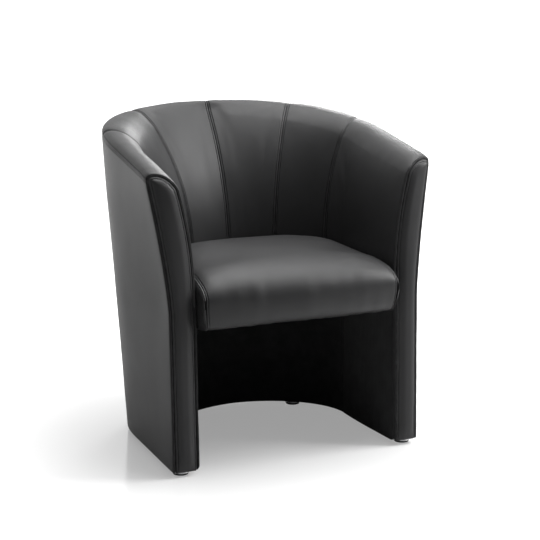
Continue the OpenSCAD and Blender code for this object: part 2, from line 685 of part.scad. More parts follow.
foam_rows = len(top_rows) + len(upper_turns);
function foam_column(s) = let (line = seat_line(s, leather + fit), low = line[foam_rows + 1])
    [for (k = [1:foam_rows]) k < foam_rows ? line[k] : [line[k][0], low[1], line[k][2]]];
flank_out = 2;
flank_drop = 9;
flank_inset = 12;
flank_front = flank_inset - seat_corner;
flank_squeeze = 0.3;
function foam_flank(sign) = [for (p = foam_column(sign))
    [p[0] + sign * flank_out, p[1] < flank_front ? lerp(flank_front, p[1], flank_squeeze) : p[1],
        p[2] - flank_drop]];
module seat_foam() color(foam_colour) {
    columns = concat([foam_flank(-1)], [for (s = seat_shares) foam_column(s)], [foam_flank(1)]);
    swept([for (c = columns) [c, [for (p = c) [p[0], p[1], seat_base_z]]]]);
}

module seat_front_foam() color(foam_colour) {
    first = foam_rows + 1;
    swept([for (s = seat_shares) let (
        line = seat_line(s, leather + fit),
        face = [for (k = [first:first + len(lower_heights) - 1])
            [line[k][0], line[k][1], min(line[k][2], seat_base_z - fit)]]
    ) [face, [for (p = face) [p[0], frame_front - fit, p[2]]]]]);
}

// Side panel of the seat, from the main seam round to the side of the tub
cheek_levels = [0, 0.15, 0.5, 0.85, 1];
cheek_front_bulge = [0, 0.8, 1, 0.8, 0];
cheek_side_bulge = [1, 1, 1, 0.7, 0];
cheek_turns = [12, 32, 54, 76];
cheek_root = seam_line - leather - fit;
function cheek_column(top, bottom, depth, bulge) = [for (i = [0:len(cheek_levels) - 1])
    let (p = lerp(bottom, top, cheek_levels[i]))
    [seat_half(max(p[0], waist), 0) - lower_draw(p[0], p[1])
        - lerp(cheek_root, seat_side_gap, bulge[i]) - depth, p[0], p[1]]];
function cheek_front(turn, depth) = let (
        out = pow(cos(turn), 2 / roll_power),
        up = pow(sin(turn), 2 / roll_power)
    ) cheek_column(
        [lerp(roll_start, -seat_corner, out), lerp(seat_nose_height, seat_edge, up)],
        [lerp(bottom_edge, -seat_corner, out), lerp(seat_nose_height, seat_bottom, up)],
        depth, cheek_front_bulge * sqrt(sin(turn)));
function cheek_side(ys, depth) =
    cheek_column([ys[0], seat_edge], [ys[1], seat_bottom], depth, cheek_side_bulge);
module seat_cheek_right() color(leather_colour) difference() {
    swept([for (c = concat(
        [for (turn = cheek_turns) [cheek_front(turn, 0), cheek_front(turn, leather)]],
        [for (ys = concat([[roll_start, waist]],
                [for (i = [1:3]) [arm_stations[i], arm_stations[i]]], [[0, 0]]))
            [cheek_side(ys, 0), cheek_side(ys, leather)]])) c]);
    seat_bolt_holes();
}
module seat_cheek_left() mirrored() seat_cheek_right();

// Band behind the seat, from one side panel to the other
band_drop = 28;
band_end = 0.3;
module seat_rear_band() color(lining_colour) difference() {
    swept([for (q = [for (q = stations) if (q >= 0 && q <= 180) q]) let (
        q_in = max(band_end, min(180 - band_end, q)),
        zs = [seat_bottom, seat_bottom + seat_frame_h, seat_edge - band_drop]
    ) [
        [for (z = zs) let (r = lining_r(q_in) - seat_side_gap) [r * cos(q_in), r * sin(q_in), z]],
        [for (z = zs) let (r = lining_r(q_in) - seat_side_gap - leather)
            [r * cos(q_in), r * sin(q_in), z]]
    ]], true);
    seat_bolt_holes();
}

// Closed timber frame of the seat: a rim that follows the plan
seat_stations = [for (q = stations) if (!is_front(q)) q];
function seat_corner_points(depth, front, corner) = corner == 0
    ? [[lining_r(-arm_front) - depth, front]]
    : [[lining_r(-arm_front) - depth - corner, front],
       [seat_half(front + corner_run, depth), front + corner_run]];
function seat_plan(depth, front, corner = 0) = let (
        points = seat_corner_points(depth, front, corner)
    ) concat(
    points,
    [for (q = seat_stations) let (p = from_lining(q, seat_bottom, -depth)) [p[0], p[1]]],
    [for (i = [len(points) - 1:-1:0]) [-points[i][0], points[i][1]]]);
// The front corners of the frame and its cloth are cut off inside the drawn in corners of the seat.
corner_run = 30;
corner_cut = 9;
module seat_frame() color(timber_colour) difference() {
    translate([0, 0, seat_bottom + leather + fit]) linear_extrude(seat_frame_h) difference() {
        polygon(seat_plan(seat_frame_gap, frame_front, corner_cut));
        polygon(seat_plan(seat_frame_gap + seat_frame_w, frame_front + seat_frame_w));
    }
    seat_bolt_holes();
}

// Elastic straps: one layer across the frame, one layer from front to back over it
strap_z = seat_bottom + leather + fit + seat_frame_h + fit;
strap_end = 10;
strap_pitch = 65;
first_strap = -190;
across_places = [for (i = [0:4]) first_strap + i * strap_pitch];
along_places = [for (i = [-2:2]) i * strap_pitch];
module seat_webbing_across() color(lining_colour) for (y = across_places) {
    half = min(seat_half(y + strap_w / 2, seat_frame_gap), seat_half(y - strap_w / 2, seat_frame_gap))
        - strap_end;
    translate([-half, y - strap_w / 2, strap_z]) cube([2 * half, strap_w, strap_t]);
}
function plan_back(x, inset) = (inner_base_depth - inset)
    * pow(max(0, 1 - pow(abs(x) / (inner_base_half_width - inset), inner_base_squareness)),
        1 / inner_base_squareness);
module seat_webbing_along() color(lining_colour) for (x = along_places) {
    back = plan_back(abs(x) + strap_w / 2, seat_frame_gap) - strap_end;
    front = frame_front + strap_end;
    translate([x - strap_w / 2, front, strap_z + strap_t + fit]) cube([strap_w, back - front, strap_t]);
}

module seat_dust_cover() color(lining_colour)
    translate([0, 0, seat_bottom + leather - cloth]) linear_extrude(cloth)
        polygon(seat_plan(seat_frame_gap + cloth_lap, bottom_edge + hem + cloth_lap, corner_cut));

// Foot: a chromed glide with a threaded stem, and a pad under it
foot_play = 0.3;
foot_cup_h = floor_gap - foot_pad_t - foot_play;
foot_lip = 1.5;
foot_lip_h = 1;
pad_inset = 2;
module foot(p) color(steel_colour) translate([p[0], p[1], foot_pad_t]) {
    rotate_extrude() union() {
        square([foot_d / 2 - foot_lip, foot_cup_h]);
        translate([0, foot_lip_h]) square([foot_d / 2, foot_cup_h - 3 * foot_lip_h]);
    }
    translate([0, 0, foot_cup_h - weld])
        cylinder(d = stem_d, h = base_former_bottom - floor_gap + stem_length);
}
module foot_pad(p) color(lining_colour)
    translate([p[0], p[1], 0]) cylinder(d = foot_d - 2 * pad_inset, h = foot_pad_t);
module foot_front_right() foot(foot_places[0]);
module foot_front_left() foot(foot_places[1]);
module foot_rear_right() foot(foot_places[2]);
module foot_rear_left() foot(foot_places[3]);
module foot_pad_front_right() foot_pad(foot_places[0]);
module foot_pad_front_left() foot_pad(foot_places[1]);
module foot_pad_rear_right() foot_pad(foot_places[2]);
module foot_pad_rear_left() foot_pad(foot_places[3]);

module placed() translate([0, depth_shift, 0]) children();

placed() base_former();
placed() seat_rail();
placed() top_former();
placed() front_post_left();
placed() front_post_right();
placed() arm_rib_left();
placed() arm_rib_right();
placed() rear_rib_left();
placed() rear_rib_right();
placed() back_rib_left();
placed() back_rib_right();
placed() outer_board();
placed() upper_inner_board();
placed() lower_inner_board();
placed() outer_wadding();
placed() front_wadding_left();
placed() front_wadding_right();
placed() arm_foam_left();
placed() arm_foam_right();
placed() side_back_foam_left();
placed() side_back_foam_right();
placed() centre_back_foam_left();
placed() centre_back_foam_right();
placed() outer_cover();
placed() front_facing_left();
placed() front_facing_right();
placed() inside_arm_left();
placed() inside_arm_right();
placed() side_back_panel_left();
placed() side_back_panel_right();
placed() centre_back_panel_left();
placed() centre_back_panel_right();
placed() lower_lining();
placed() base_dust_cover();
placed() seat_frame();
placed() seat_webbing_across();
placed() seat_webbing_along();
placed() seat_foam();
placed() seat_front_foam();
placed() seat_cover();
placed() seat_cheek_left();
placed() seat_cheek_right();
placed() seat_rear_band();
placed() seat_dust_cover();
placed() seat_bolts();
placed() seat_tee_nuts();
placed() foot_insert_nuts();
placed() foot_front_left();
placed() foot_front_right();
placed() foot_rear_left();
placed() foot_rear_right();
placed() foot_pad_front_left();
placed() foot_pad_front_right();
placed() foot_pad_rear_left();
placed() foot_pad_rear_right();
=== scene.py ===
"""Dressed model of the reception tub chair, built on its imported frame. Lengths are in metres."""

import json
import logging
import math
from collections.abc import Callable, Sequence
from dataclasses import dataclass
from enum import Enum

import bmesh
import bpy
from bmesh.types import BMesh, BMFace
from mathutils import Matrix, Vector, noise
from mathutils.bvhtree import BVHTree
from mathutils.kdtree import KDTree


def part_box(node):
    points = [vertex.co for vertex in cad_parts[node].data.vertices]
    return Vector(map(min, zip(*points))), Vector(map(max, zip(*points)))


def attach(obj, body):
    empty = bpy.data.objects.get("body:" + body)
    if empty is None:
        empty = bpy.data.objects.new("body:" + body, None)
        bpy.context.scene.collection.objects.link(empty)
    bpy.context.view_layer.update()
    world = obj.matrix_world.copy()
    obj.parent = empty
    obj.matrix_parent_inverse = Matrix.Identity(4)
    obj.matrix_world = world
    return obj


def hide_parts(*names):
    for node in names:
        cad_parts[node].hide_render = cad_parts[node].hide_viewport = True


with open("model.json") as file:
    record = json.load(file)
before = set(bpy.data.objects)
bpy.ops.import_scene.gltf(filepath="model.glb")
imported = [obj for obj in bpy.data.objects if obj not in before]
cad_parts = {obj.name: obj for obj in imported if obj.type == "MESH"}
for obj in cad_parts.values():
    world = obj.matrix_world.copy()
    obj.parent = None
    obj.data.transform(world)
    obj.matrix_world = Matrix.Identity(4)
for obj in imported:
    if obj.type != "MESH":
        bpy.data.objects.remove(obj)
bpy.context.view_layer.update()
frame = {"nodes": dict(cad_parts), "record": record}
LOG = logging.getLogger("tub_chair")
CHAIR = "chair"


def mix(low: float, high: float, share: float) -> float:
    """Return the value at a share of the way from low to high."""
    return low + (high - low) * share


def clamp(value: float) -> float:
    """Return the value held between 0 and 1."""
    return max(0.0, min(1.0, value))


def smooth(value: float) -> float:
    """Return an S curve from 0 to 1 over the value's unit range."""
    held = clamp(value)
    return held * held * (3 - 2 * held)


def between(table: Sequence[tuple[float, float]], value: float) -> float:
    """Read a table of pairs at a value, with straight lines between its rows.

    Args:
        table: pairs of a place and its value, in rising order of place.
        value: the place to read.

    Returns:
        The value there, held to the table's ends.
    """
    if value <= table[0][0]:
        return table[0][1]
    for (x0, y0), (x1, y1) in zip(table, table[1:]):
        if value <= x1:
            return mix(y0, y1, (value - x0) / (x1 - x0))
    return table[-1][1]


class Side(Enum):
    """A side of the chair, as someone who faces its front sees it."""

    LEFT = -1
    RIGHT = 1

    @property
    def word(self) -> str:
        """The word that ends the names of this side's nodes."""
        return self.name.lower()


@dataclass(frozen=True)
class Station:
    """A place along the wall: an angle round the back, or a distance ahead of it on an arm."""

    angle: float
    ahead: float = 0.0

    def mirrored(self) -> "Station":
        """Return the same place on the other side of the chair."""
        return Station(math.pi - self.angle, self.ahead)


@dataclass(frozen=True)
class WallForm:
    """Form of the tub's wall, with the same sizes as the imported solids."""

    back_height: float = 0.730
    arm_height: float = 0.645
    floor_gap: float = 0.010
    over_outer_seam: float = 0.013
    over_shoulder: float = 0.034
    outer_base: tuple[float, float, float] = (0.292, 0.230, 3.1)
    outer_top: tuple[float, float, float] = (0.330, 0.333, 2.7)
    outer_flare: float = 0.347
    outer_power: float = 1.4
    lining_plan: tuple[float, float, float] = (0.218, 0.166, 1.85)
    inner_top: tuple[float, float, float] = (0.255, 0.291, 2.0)
    splay: float = 0.0135
    top_splay: float = 0.5
    inner_flare: float = 0.370
    back_lean: float = 0.250
    arm_length: float = 0.236
    rake: float = 0.022
    setback: float = 0.018
    arm_front: float = 0.210
    front_zone: float = 0.160
    corner: float = 0.005
    lip: float = 0.0015
    crest_blend: float = 3.0
    shift: float = -0.0315
    panel_bottom: float = 0.3652
    back_start: float = 0.242
    back_length: float = 0.371
    lean_power: int = 6
    inner_powers: tuple[float, float] = (2.2, 2.7)
    slope_step: float = 0.001
    hem_round: float = 0.010
    hem_round_height: float = 0.035
    hem_round_depth: float = 0.010
    narrow_hem: float = 0.0048
    hem_clear: float = 0.010
    hem_widens: float = 0.02

    @property
    def arm_end(self) -> float:
        """Length of leather from the pole line round the arm's front corner to the groove."""
        return self.arm_front + self.corner * (math.pi / 2 - 1) + self.lip

    def corner_turn(self, at: Station) -> tuple[float, float, float]:
        """Where a station lies on the rounded front corner of an arm.

        Args:
            at: station along the wall.

        Returns:
            Its distance in from the face, its distance back from the front, and the angle turned.
        """
        past = at.ahead - (self.arm_front - self.corner)
        if past <= 0:
            return 0.0, self.corner, 0.0
        angle = min(past / self.corner, math.pi / 2)
        flat = max(0.0, past - self.corner * math.pi / 2)
        return self.corner * (1 - math.cos(angle)) + flat, self.corner * (1 - math.sin(angle)), angle

    def crest_depth(self) -> float:
        """Depth of the crest's middle line at the middle of the back."""
        return (self.outer_top[1] + self.inner_top[1]) / 2

    def crest_y(self, at: Station) -> float:
        """Depth of the crest's middle line behind the pole line."""
        return -at.ahead if at.ahead > 0 else self.crest_depth() * math.sin(at.angle)

    def crest_z(self, at: Station) -> float:
        """Height of the crest."""
        share = (self.crest_y(at) + self.arm_front) / (self.crest_depth() + self.arm_front)
        return mix(self.arm_height, self.back_height, share)

    def outer_seam_z(self, at: Station) -> float:
        """Height of the seam between the outer cover and the crest."""
        return self.crest_z(at) - self.over_outer_seam

    def shoulder_z(self, at: Station) -> float:
        """Height where the inside turns into the crest."""
        return self.crest_z(at) - self.over_shoulder

    def backness(self, at: Station) -> float:
        """Share from the arm fronts, at 0, to the back, at 1."""
        return smooth((self.crest_y(at) + self.back_start) / self.back_length)

    @staticmethod
    def plan(sizes: tuple[float, float, float], angle: float) -> float:
        """Distance of a rounded plan from the pole line.

        Args:
            sizes: half width, depth and squareness of the plan.
            angle: angle round the back.

        Returns:
            The distance in metres.
        """
        half, depth, square = sizes
        across = abs(math.cos(angle)) / half
        deep = abs(math.sin(angle)) / depth
        return (across ** square + deep ** square) ** (-1 / square)

    @staticmethod
    def rise(z: float, low: float, high: float, power: float) -> float:
        """Share of the way from a low to a high level, bent by a power."""
        return max(0.0, (z - low) / (high - low)) ** power

    def splay_at(self, at: Station) -> float:
        """How far the inside stands out at an arm."""
        return self.splay * min(1.0, at.ahead / self.arm_front) ** 2

    def outer_r(self, at: Station, z: float) -> float:
        """Distance of the outer face from the pole line."""
        top = self.outer_seam_z(at)
        flared = self.rise(z, self.outer_flare, top, self.outer_power)
        straight = (z - self.floor_gap) / (top - self.floor_gap)
        share = mix(flared, straight, self.backness(at))
        return mix(self.plan(self.outer_base, at.angle), self.plan(self.outer_top, at.angle), share)

    def lining_r(self, at: Station) -> float:
        """Distance of the upright lining from the pole line."""
        return self.plan(self.lining_plan, at.angle) + self.splay_at(at)

    def inner_r(self, at: Station, z: float) -> float:
        """Distance of the inner face from the pole line."""
        turned = max(0.0, math.sin(at.angle)) ** self.lean_power if at.ahead <= 0 else 0.0
        low = mix(self.inner_flare, self.back_lean, turned)
        power = mix(*self.inner_powers, self.backness(at))
        top = self.plan(self.inner_top, at.angle) + self.top_splay * self.splay_at(at)
        return mix(self.lining_r(at), top, self.rise(z, low, self.shoulder_z(at), power))

    def front_depth(self, z: float, across: float) -> float:
        """Distance of the arm front ahead of the pole line, from its outer edge, 0, to its inner, 1."""
        flared = self.rise(z, self.outer_flare, self.arm_height, self.outer_power)
        return self.arm_length - self.rake * z / self.arm_height - self.setback * (1 - across) * flared

    def reach(self, at: Station, z: float, across: float) -> float:
        """Distance ahead of the pole line, stretched so that an arm ends at its raked front."""
        if at.ahead <= self.front_zone:
            return at.ahead
        front = self.front_depth(min(z, self.arm_height), across)
        start = self.arm_front - self.corner
        if at.ahead > start:
            return front - self.corner_turn(at)[1]
        share = (at.ahead - self.front_zone) / (start - self.front_zone)
        return mix(self.front_zone, front - self.corner, share)

    def place(self, at: Station, r: float, z: float, across: float) -> Vector:
        """Point at a station, a distance from the pole line and a height."""
        y = r * math.sin(at.angle) - self.reach(at, z, across) + self.shift
        return Vector((r * math.cos(at.angle), y, z))

    def outer(self, at: Station, z: float, depth: float = 0.0) -> Vector:
        """Point at a depth below the outer face."""
        depth += self.corner_turn(at)[0]
        thick = self.outer_r(at, z) - self.inner_r(at, z)
        return self.place(at, self.outer_r(at, z) - depth, z, clamp(depth / thick))

    def inner(self, at: Station, z: float, depth: float = 0.0) -> Vector:
        """Point at a depth behind the inner face."""
        depth += self.corner_turn(at)[0]
        thick = self.outer_r(at, z) - self.inner_r(at, z)
        return self.place(at, self.inner_r(at, z) + depth, z, clamp(1 - depth / thick))

    def crest(self, at: Station, turn: float, depth: float = 0.0) -> Vector:
        """Point of the rounded crest.

        Args:
            at: station along the wall.
            turn: angle from the outer seam, 0, over to the shoulder, pi.
            depth: distance below the face.

        Returns:
            The point.
        """
        depth += self.corner_turn(at)[0]
        across = (1 - math.cos(turn)) / 2
        z_out, z_in = self.outer_seam_z(at), self.shoulder_z(at)
        r_out, r_in = self.outer_r(at, z_out), self.inner_r(at, z_in)
        up = self.crest_rise() - depth
        z = mix(z_out, z_in, across) + up * math.sin(turn)
        lean = (r_in - self.inner_r(at, z_in - self.slope_step)) / self.slope_step
        r = mix(r_out - depth, r_in + depth, across) + lean * max(0.0, z - z_in) * across ** self.crest_blend
        return self.place(at, r, z, clamp((r_out - r) / (r_out - r_in)))

    def crest_rise(self) -> float:
        """Height of the crest above the line between its two sides."""
        return (self.over_outer_seam + self.over_shoulder) / 2

    def hem_lift(self, inward: float, behind: float, z: float) -> float:
        """How far the rounded lower corner inside an arm's front lifts a point.

        Args:
            inward: distance of the point from the inner face.
            behind: distance of the point behind the front.
            z: height of the point.

        Returns:
            The lift.
        """
        size = self.hem_round
        off = max(0.0, size - inward)
        low = clamp(1 - (z - self.floor_gap) / self.hem_round_height)
        fade = low * smooth(1 - behind / self.hem_round_depth)
        return (size - math.sqrt(size * size - off * off)) * fade

    def hem_tuck(self, tuck: float, whole: float, from_end: float) -> float:
        """Depth of a point of a folded hem, which is narrow at an arm's front.

        Args:
            tuck: the point's depth in the whole hem.
            whole: width of the whole hem.
            from_end: distance from the arm's front groove.

        Returns:
            The depth.
        """
        room = clamp((from_end - self.hem_clear) / self.hem_widens)
        return min(tuck, mix(self.narrow_hem, whole, room))

    def station_at(self, point: Vector) -> Station:
        """Station nearest to a point of the wall."""
        y = point.y - self.shift
        if y <= 0:
            return Station(0.0 if point.x > 0 else math.pi, -y)
        return Station(math.atan2(y, point.x))

    def station(self, length: float, radius: float) -> Station:
        """Station at a length along the wall, measured from the pole line on the right."""
        if length < 0:
            return Station(0.0, -length)
        if length > math.pi * radius:
            return Station(math.pi, length - math.pi * radius)
        return Station(length / radius)

    def length(self, at: Station, radius: float) -> float:
        """Length along the wall of a station, measured from the pole line on the right."""
        return at.angle * radius + (at.ahead if at.angle > 1 else -at.ahead)


@dataclass(frozen=True)
class SeamForm:
    """Cross section of a sewn seam: the groove, the row of stitches and the pull of the thread."""

    groove: float = 0.0036
    groove_width: float = 0.0007
    stitch_offset: float = 0.0047
    stitch_dip: float = 0.0017
    stitch_width: float = 0.0007
    draw: float = 0.0010
    draw_width: float = 0.012
    pull_change: float = 0.35
    pull_waves: tuple[float, float] = (0.0031, 0.0117)

    def dip(self, distance: float, along: float = 0.0) -> float:
        """Depth of the leather below its own face, at a distance from the seam.

        Args:
            distance: distance from the seam line.
            along: place along the seam, which varies the pull of the stitches.

        Returns:
            The depth.
        """
        short, long = self.pull_waves
        pull = 1 + self.pull_change * math.sin(along / short) * math.sin(along / long + 1.3)
        row = (distance - self.stitch_offset) / self.stitch_width
        return (self.groove * math.exp(-distance / self.groove_width)
                + self.stitch_dip * pull * math.exp(-row * row)
                + self.draw * pull * math.exp(-((distance / self.draw_width) ** 2)))

    def offsets(self) -> list[float]:
        """Distances from the seam at which the mesh has a line of vertices."""
        near = [0, 0.0004, 0.0009, 0.0016, 0.0027, 0.0036, 0.0040, 0.0044]
        row = [self.stitch_offset, 0.0050, 0.0054, 0.0059, 0.0070, 0.0088, 0.0112, 0.0150]
        return near + row

    def stitch_line(self) -> int:
        """Number of the line of vertices that carries the stitches, counted from the seam."""
        return self.offsets().index(self.stitch_offset)


SEAM = SeamForm()
WALL = WallForm()


def graded(width: float, middle: int, both: bool = True) -> list[float]:
    """Places across a width, close together at its sewn edges.

    Args:
        width: the whole width.
        middle: number of even steps between the fine ones.
        both: whether the far edge is sewn too.

    Returns:
        The places, from 0 to the width.
    """
    fine = SEAM.offsets()
    room = width / (2.4 if both else 1.3)
    scale = min(1.0, room / fine[-1])
    near = [f * scale for f in fine]
    far = [width - f for f in reversed(near)] if both else [width]
    steps = [mix(near[-1], far[0], i / middle) for i in range(1, middle)]
    return near + steps + far


def unevenness(at: Vector, size: float, amount: float) -> float:
    """Soft rise and fall of hand filled padding at a point."""
    return amount * noise.noise(at / size)


class Sheet:
    """A grid of points bent into a surface, which becomes a closed piece."""

    RUBBED = 0.004

    def __init__(self, columns: int, rows: int, point: Callable[[int, int], Vector], flip: bool) -> None:
        """Make the grid and bend it.

        Args:
            columns: number of lines of points along the surface.
            rows: number of lines of points up the surface.
            point: the place of each point, by its column and row.
            flip: whether the faces turn over so that they point outwards.
        """
        self.columns, self.rows = columns, rows
        self.front: list[bmesh.types.BMVert] = []
        self.mesh: BMesh = bmesh.new()
        bmesh.ops.create_grid(self.mesh, x_segments=columns - 1, y_segments=rows - 1, size=1)
        self.tag = self.mesh.verts.layers.int.new("place")
        self.near = self.mesh.verts.layers.float.new("seam")
        for vert in self.mesh.verts:
            i = round((vert.co.x + 1) / 2 * (columns - 1))
            j = round((vert.co.y + 1) / 2 * (rows - 1))
            vert[self.tag] = i * rows + j
            vert.co = point(i, j)
        if flip:
            bmesh.ops.reverse_faces(self.mesh, faces=self.mesh.faces[:])
        self.mesh.normal_update()

    def key(self, tag: int) -> tuple[int, int]:
        """Return the column and row that a vertex's tag stands for."""
        return divmod(tag, self.rows)

    def sink(self, depth: Callable[[int, int, Vector], float]) -> None:
        """Move each point below its own face, by a depth that may depend on its column, row and place."""
        moves = {v: depth(*self.key(v[self.tag]), v.co) for v in self.mesh.verts}
        for vert, amount in moves.items():
            vert.co -= vert.normal * amount
        self.mesh.normal_update()

    def mark(self, distance: Callable[[int, int], float]) -> None:
        """Keep how near each point is to a seam, for the finish."""
        for vert in self.mesh.verts:
            vert[self.near] = math.exp(-((distance(*self.key(vert[self.tag])) / self.RUBBED) ** 2))

    def line(self, places: Sequence[tuple[int, int]]) -> list[tuple[Vector, Vector]]:
        """Points and normals of some of the grid's places, in order."""
        found = {v[self.tag]: (v.co.copy(), v.normal.copy()) for v in self.mesh.verts}
        return [found[i * self.rows + j] for i, j in places]

    def area(self) -> float:
        """Area of the surface."""
        return sum(face.calc_area() for face in self.mesh.faces)

    def fill_behind(self, back: Callable[[int, int], Vector], side_material: int, back_material: int) -> None:
        """Close the surface into a body with a back of its own.

        Args:
            back: the place of each point of the back, by its column and row.
            side_material: index of the material round the edge.
            back_material: index of the material of the back.
        """
        faces = self.mesh.faces[:]
        self.front = self.mesh.verts[:]
        made = bmesh.ops.extrude_face_region(self.mesh, geom=faces, use_keep_orig=True)["geom"]
        new = {g for g in made if isinstance(g, BMFace)}
        kept = set(faces)
        for vert in {v for f in new for v in f.verts}:
            vert.co = back(*self.key(vert[self.tag]))
            vert[self.near] = 0.0
        for face in self.mesh.faces:
            if face in new:
                face.material_index = back_material
            elif face not in kept:
                face.material_index = side_material
        bmesh.ops.reverse_faces(self.mesh, faces=list(new))
        bmesh.ops.recalc_face_normals(self.mesh, faces=self.mesh.faces[:])

    def thicken(self, thickness: float) -> None:
        """Give the surface a thickness behind its face, even at its folds."""
        self.mesh.normal_update()
        normals = {vert[self.tag]: vert.normal.copy() for vert in self.mesh.verts}
        made = bmesh.ops.extrude_face_region(self.mesh, geom=self.mesh.faces[:], use_keep_orig=True)["geom"]
        new = [g for g in made if isinstance(g, BMFace)]
        for vert in {v for f in new for v in f.verts}:
            vert.co -= normals[vert[self.tag]] * thickness
        bmesh.ops.reverse_faces(self.mesh, faces=new)
        bmesh.ops.recalc_face_normals(self.mesh, faces=self.mesh.faces[:])

    def finish(self, name: str, *materials: bpy.types.Material) -> bpy.types.Object:
        """Turn the mesh into an object of the scene."""
        return to_object(self.mesh, name, *materials)


def to_object(mesh: BMesh, name: str, *materials: bpy.types.Material, sharp: float = 0.7) -> bpy.types.Object:
    """Make an object at the origin from a bmesh, and free the bmesh.

    Args:
        mesh: the shape, in the chair's own frame.
        name: name of the piece.
        materials: its materials, in the order of their indices.
        sharp: angle in radians above which an edge stays sharp.

    Returns:
        The new object.
    """
    data = bpy.data.meshes.new(name)
    for edge in mesh.edges:
        edge.smooth = len(edge.link_faces) != 2 or edge.calc_face_angle(0.0) < sharp
    for face in mesh.faces:
        face.smooth = True
    mesh.to_mesh(data)
    mesh.free()
    for material in materials:
        data.materials.append(material)
    piece = bpy.data.objects.new(name, data)
    bpy.context.scene.collection.objects.link(piece)
    return piece


def tree_of(verts: Sequence[object]) -> KDTree:
    """Return a search tree of the places of some vertices."""
    tree = KDTree(len(verts))
    for index, vert in enumerate(verts):
        tree.insert(vert.co, index)
    tree.balance()
    return tree


@dataclass(frozen=True)
class Stuffing:
    """Cloth simulation that swells a pad's cover over its filling, between the seams that hold it."""

    limit: float = 0.0030
    voxel: float = 0.006
    pressure: float = 4.0
    frames: int = 20
    sewn: float = 0.010
    free: float = 0.028
    stretch: float = 15.0
    bend: float = 0.5
    neighbours: int = 8

    def swell(self, sheet: Sheet, seam: Callable[[int, int], float], word: str) -> None:
        """Swell a closed pad in place.

        Args:
            sheet: the closed pad.
            seam: distance of a column and row from what holds the cover there.
            word: the pad's name, for the report.
        """
        shell = self.coarse(sheet)
        self.sew(shell, sheet, seam)
        moves = self.press(shell)
        tree = tree_of(shell.data.vertices)
        sheet.mesh.normal_update()
        steps = {}
        for vert in sheet.front:
            loose = smooth((seam(*sheet.key(vert[sheet.tag])) - self.sewn) / (self.free - self.sewn))
            if loose > 0:
                found = [(math.exp(-((gap / self.voxel) ** 2)), index)
                         for _, index, gap in tree.find_n(vert.co, self.neighbours)]
                total = sum(weight for weight, _ in found) or 1.0
                pushed = sum(moves[index].dot(vert.normal) * weight for weight, index in found)
                steps[vert] = pushed / total * loose
        most = max((abs(step) for step in steps.values()), default=0.0)
        share = min(1.0, self.limit / most) if most else 0.0
        for vert, step in steps.items():
            vert.co += vert.normal * step * share
        mesh = shell.data
        bpy.data.objects.remove(shell)
        bpy.data.meshes.remove(mesh)
        LOG.info("%s: swelled by up to %.1f mm of %.1f mm", word, most * share * 1000, most * 1000)

    def coarse(self, sheet: Sheet) -> bpy.types.Object:
        """Return an even, coarser copy of the pad."""
        data = bpy.data.meshes.new("cover")
        sheet.mesh.to_mesh(data)
        rough = bpy.data.objects.new("cover", data)
        bpy.context.scene.collection.objects.link(rough)
        even = rough.modifiers.new("Even", "REMESH")
        even.mode, even.voxel_size = "VOXEL", self.voxel
        shape = rough.evaluated_get(bpy.context.evaluated_depsgraph_get())
        shell = bpy.data.objects.new("shell", bpy.data.meshes.new_from_object(shape))
        bpy.context.scene.collection.objects.link(shell)
        bpy.data.objects.remove(rough)
        bpy.data.meshes.remove(data)
        return shell

    def sew(self, shell: bpy.types.Object, sheet: Sheet, seam: Callable[[int, int], float]) -> None:
        """Hold the copy at its seams and over its whole back."""
        fine = sheet.mesh.verts[:]
        tree = tree_of(fine)
        front = set(sheet.front)
        group = shell.vertex_groups.new(name="sewn")
        for vert in shell.data.vertices:
            near = fine[tree.find(vert.co)[1]]
            gap = seam(*sheet.key(near[sheet.tag])) if near in front else 0.0
            group.add([vert.index], 1 - smooth((gap - self.sewn) / (self.free - self.sewn)), "REPLACE")

    def press(self, shell: bpy.types.Object) -> list[Vector]:
        """Run the simulation and return how far each point of the copy moved."""
        cloth = shell.modifiers.new("Cloth", "CLOTH")
        cloth.settings.tension_stiffness = cloth.settings.compression_stiffness = self.stretch
        cloth.settings.bending_stiffness = self.bend
        cloth.settings.use_pressure = True
        cloth.settings.uniform_pressure_force = self.pressure
        cloth.settings.vertex_group_mass = "sewn"
        cloth.settings.effector_weights.gravity = 0.0
        cloth.collision_settings.use_collision = False
        cloth.collision_settings.use_self_collision = False
        cloth.point_cache.frame_start, cloth.point_cache.frame_end = 1, self.frames
        scene = bpy.context.scene
        for frame_number in range(1, self.frames + 1):
            scene.frame_set(frame_number)
        bent = shell.evaluated_get(bpy.context.evaluated_depsgraph_get()).data
        moves = [after.co - before.co for after, before in zip(bent.vertices, shell.data.vertices)]
        scene.frame_set(1)
        return moves


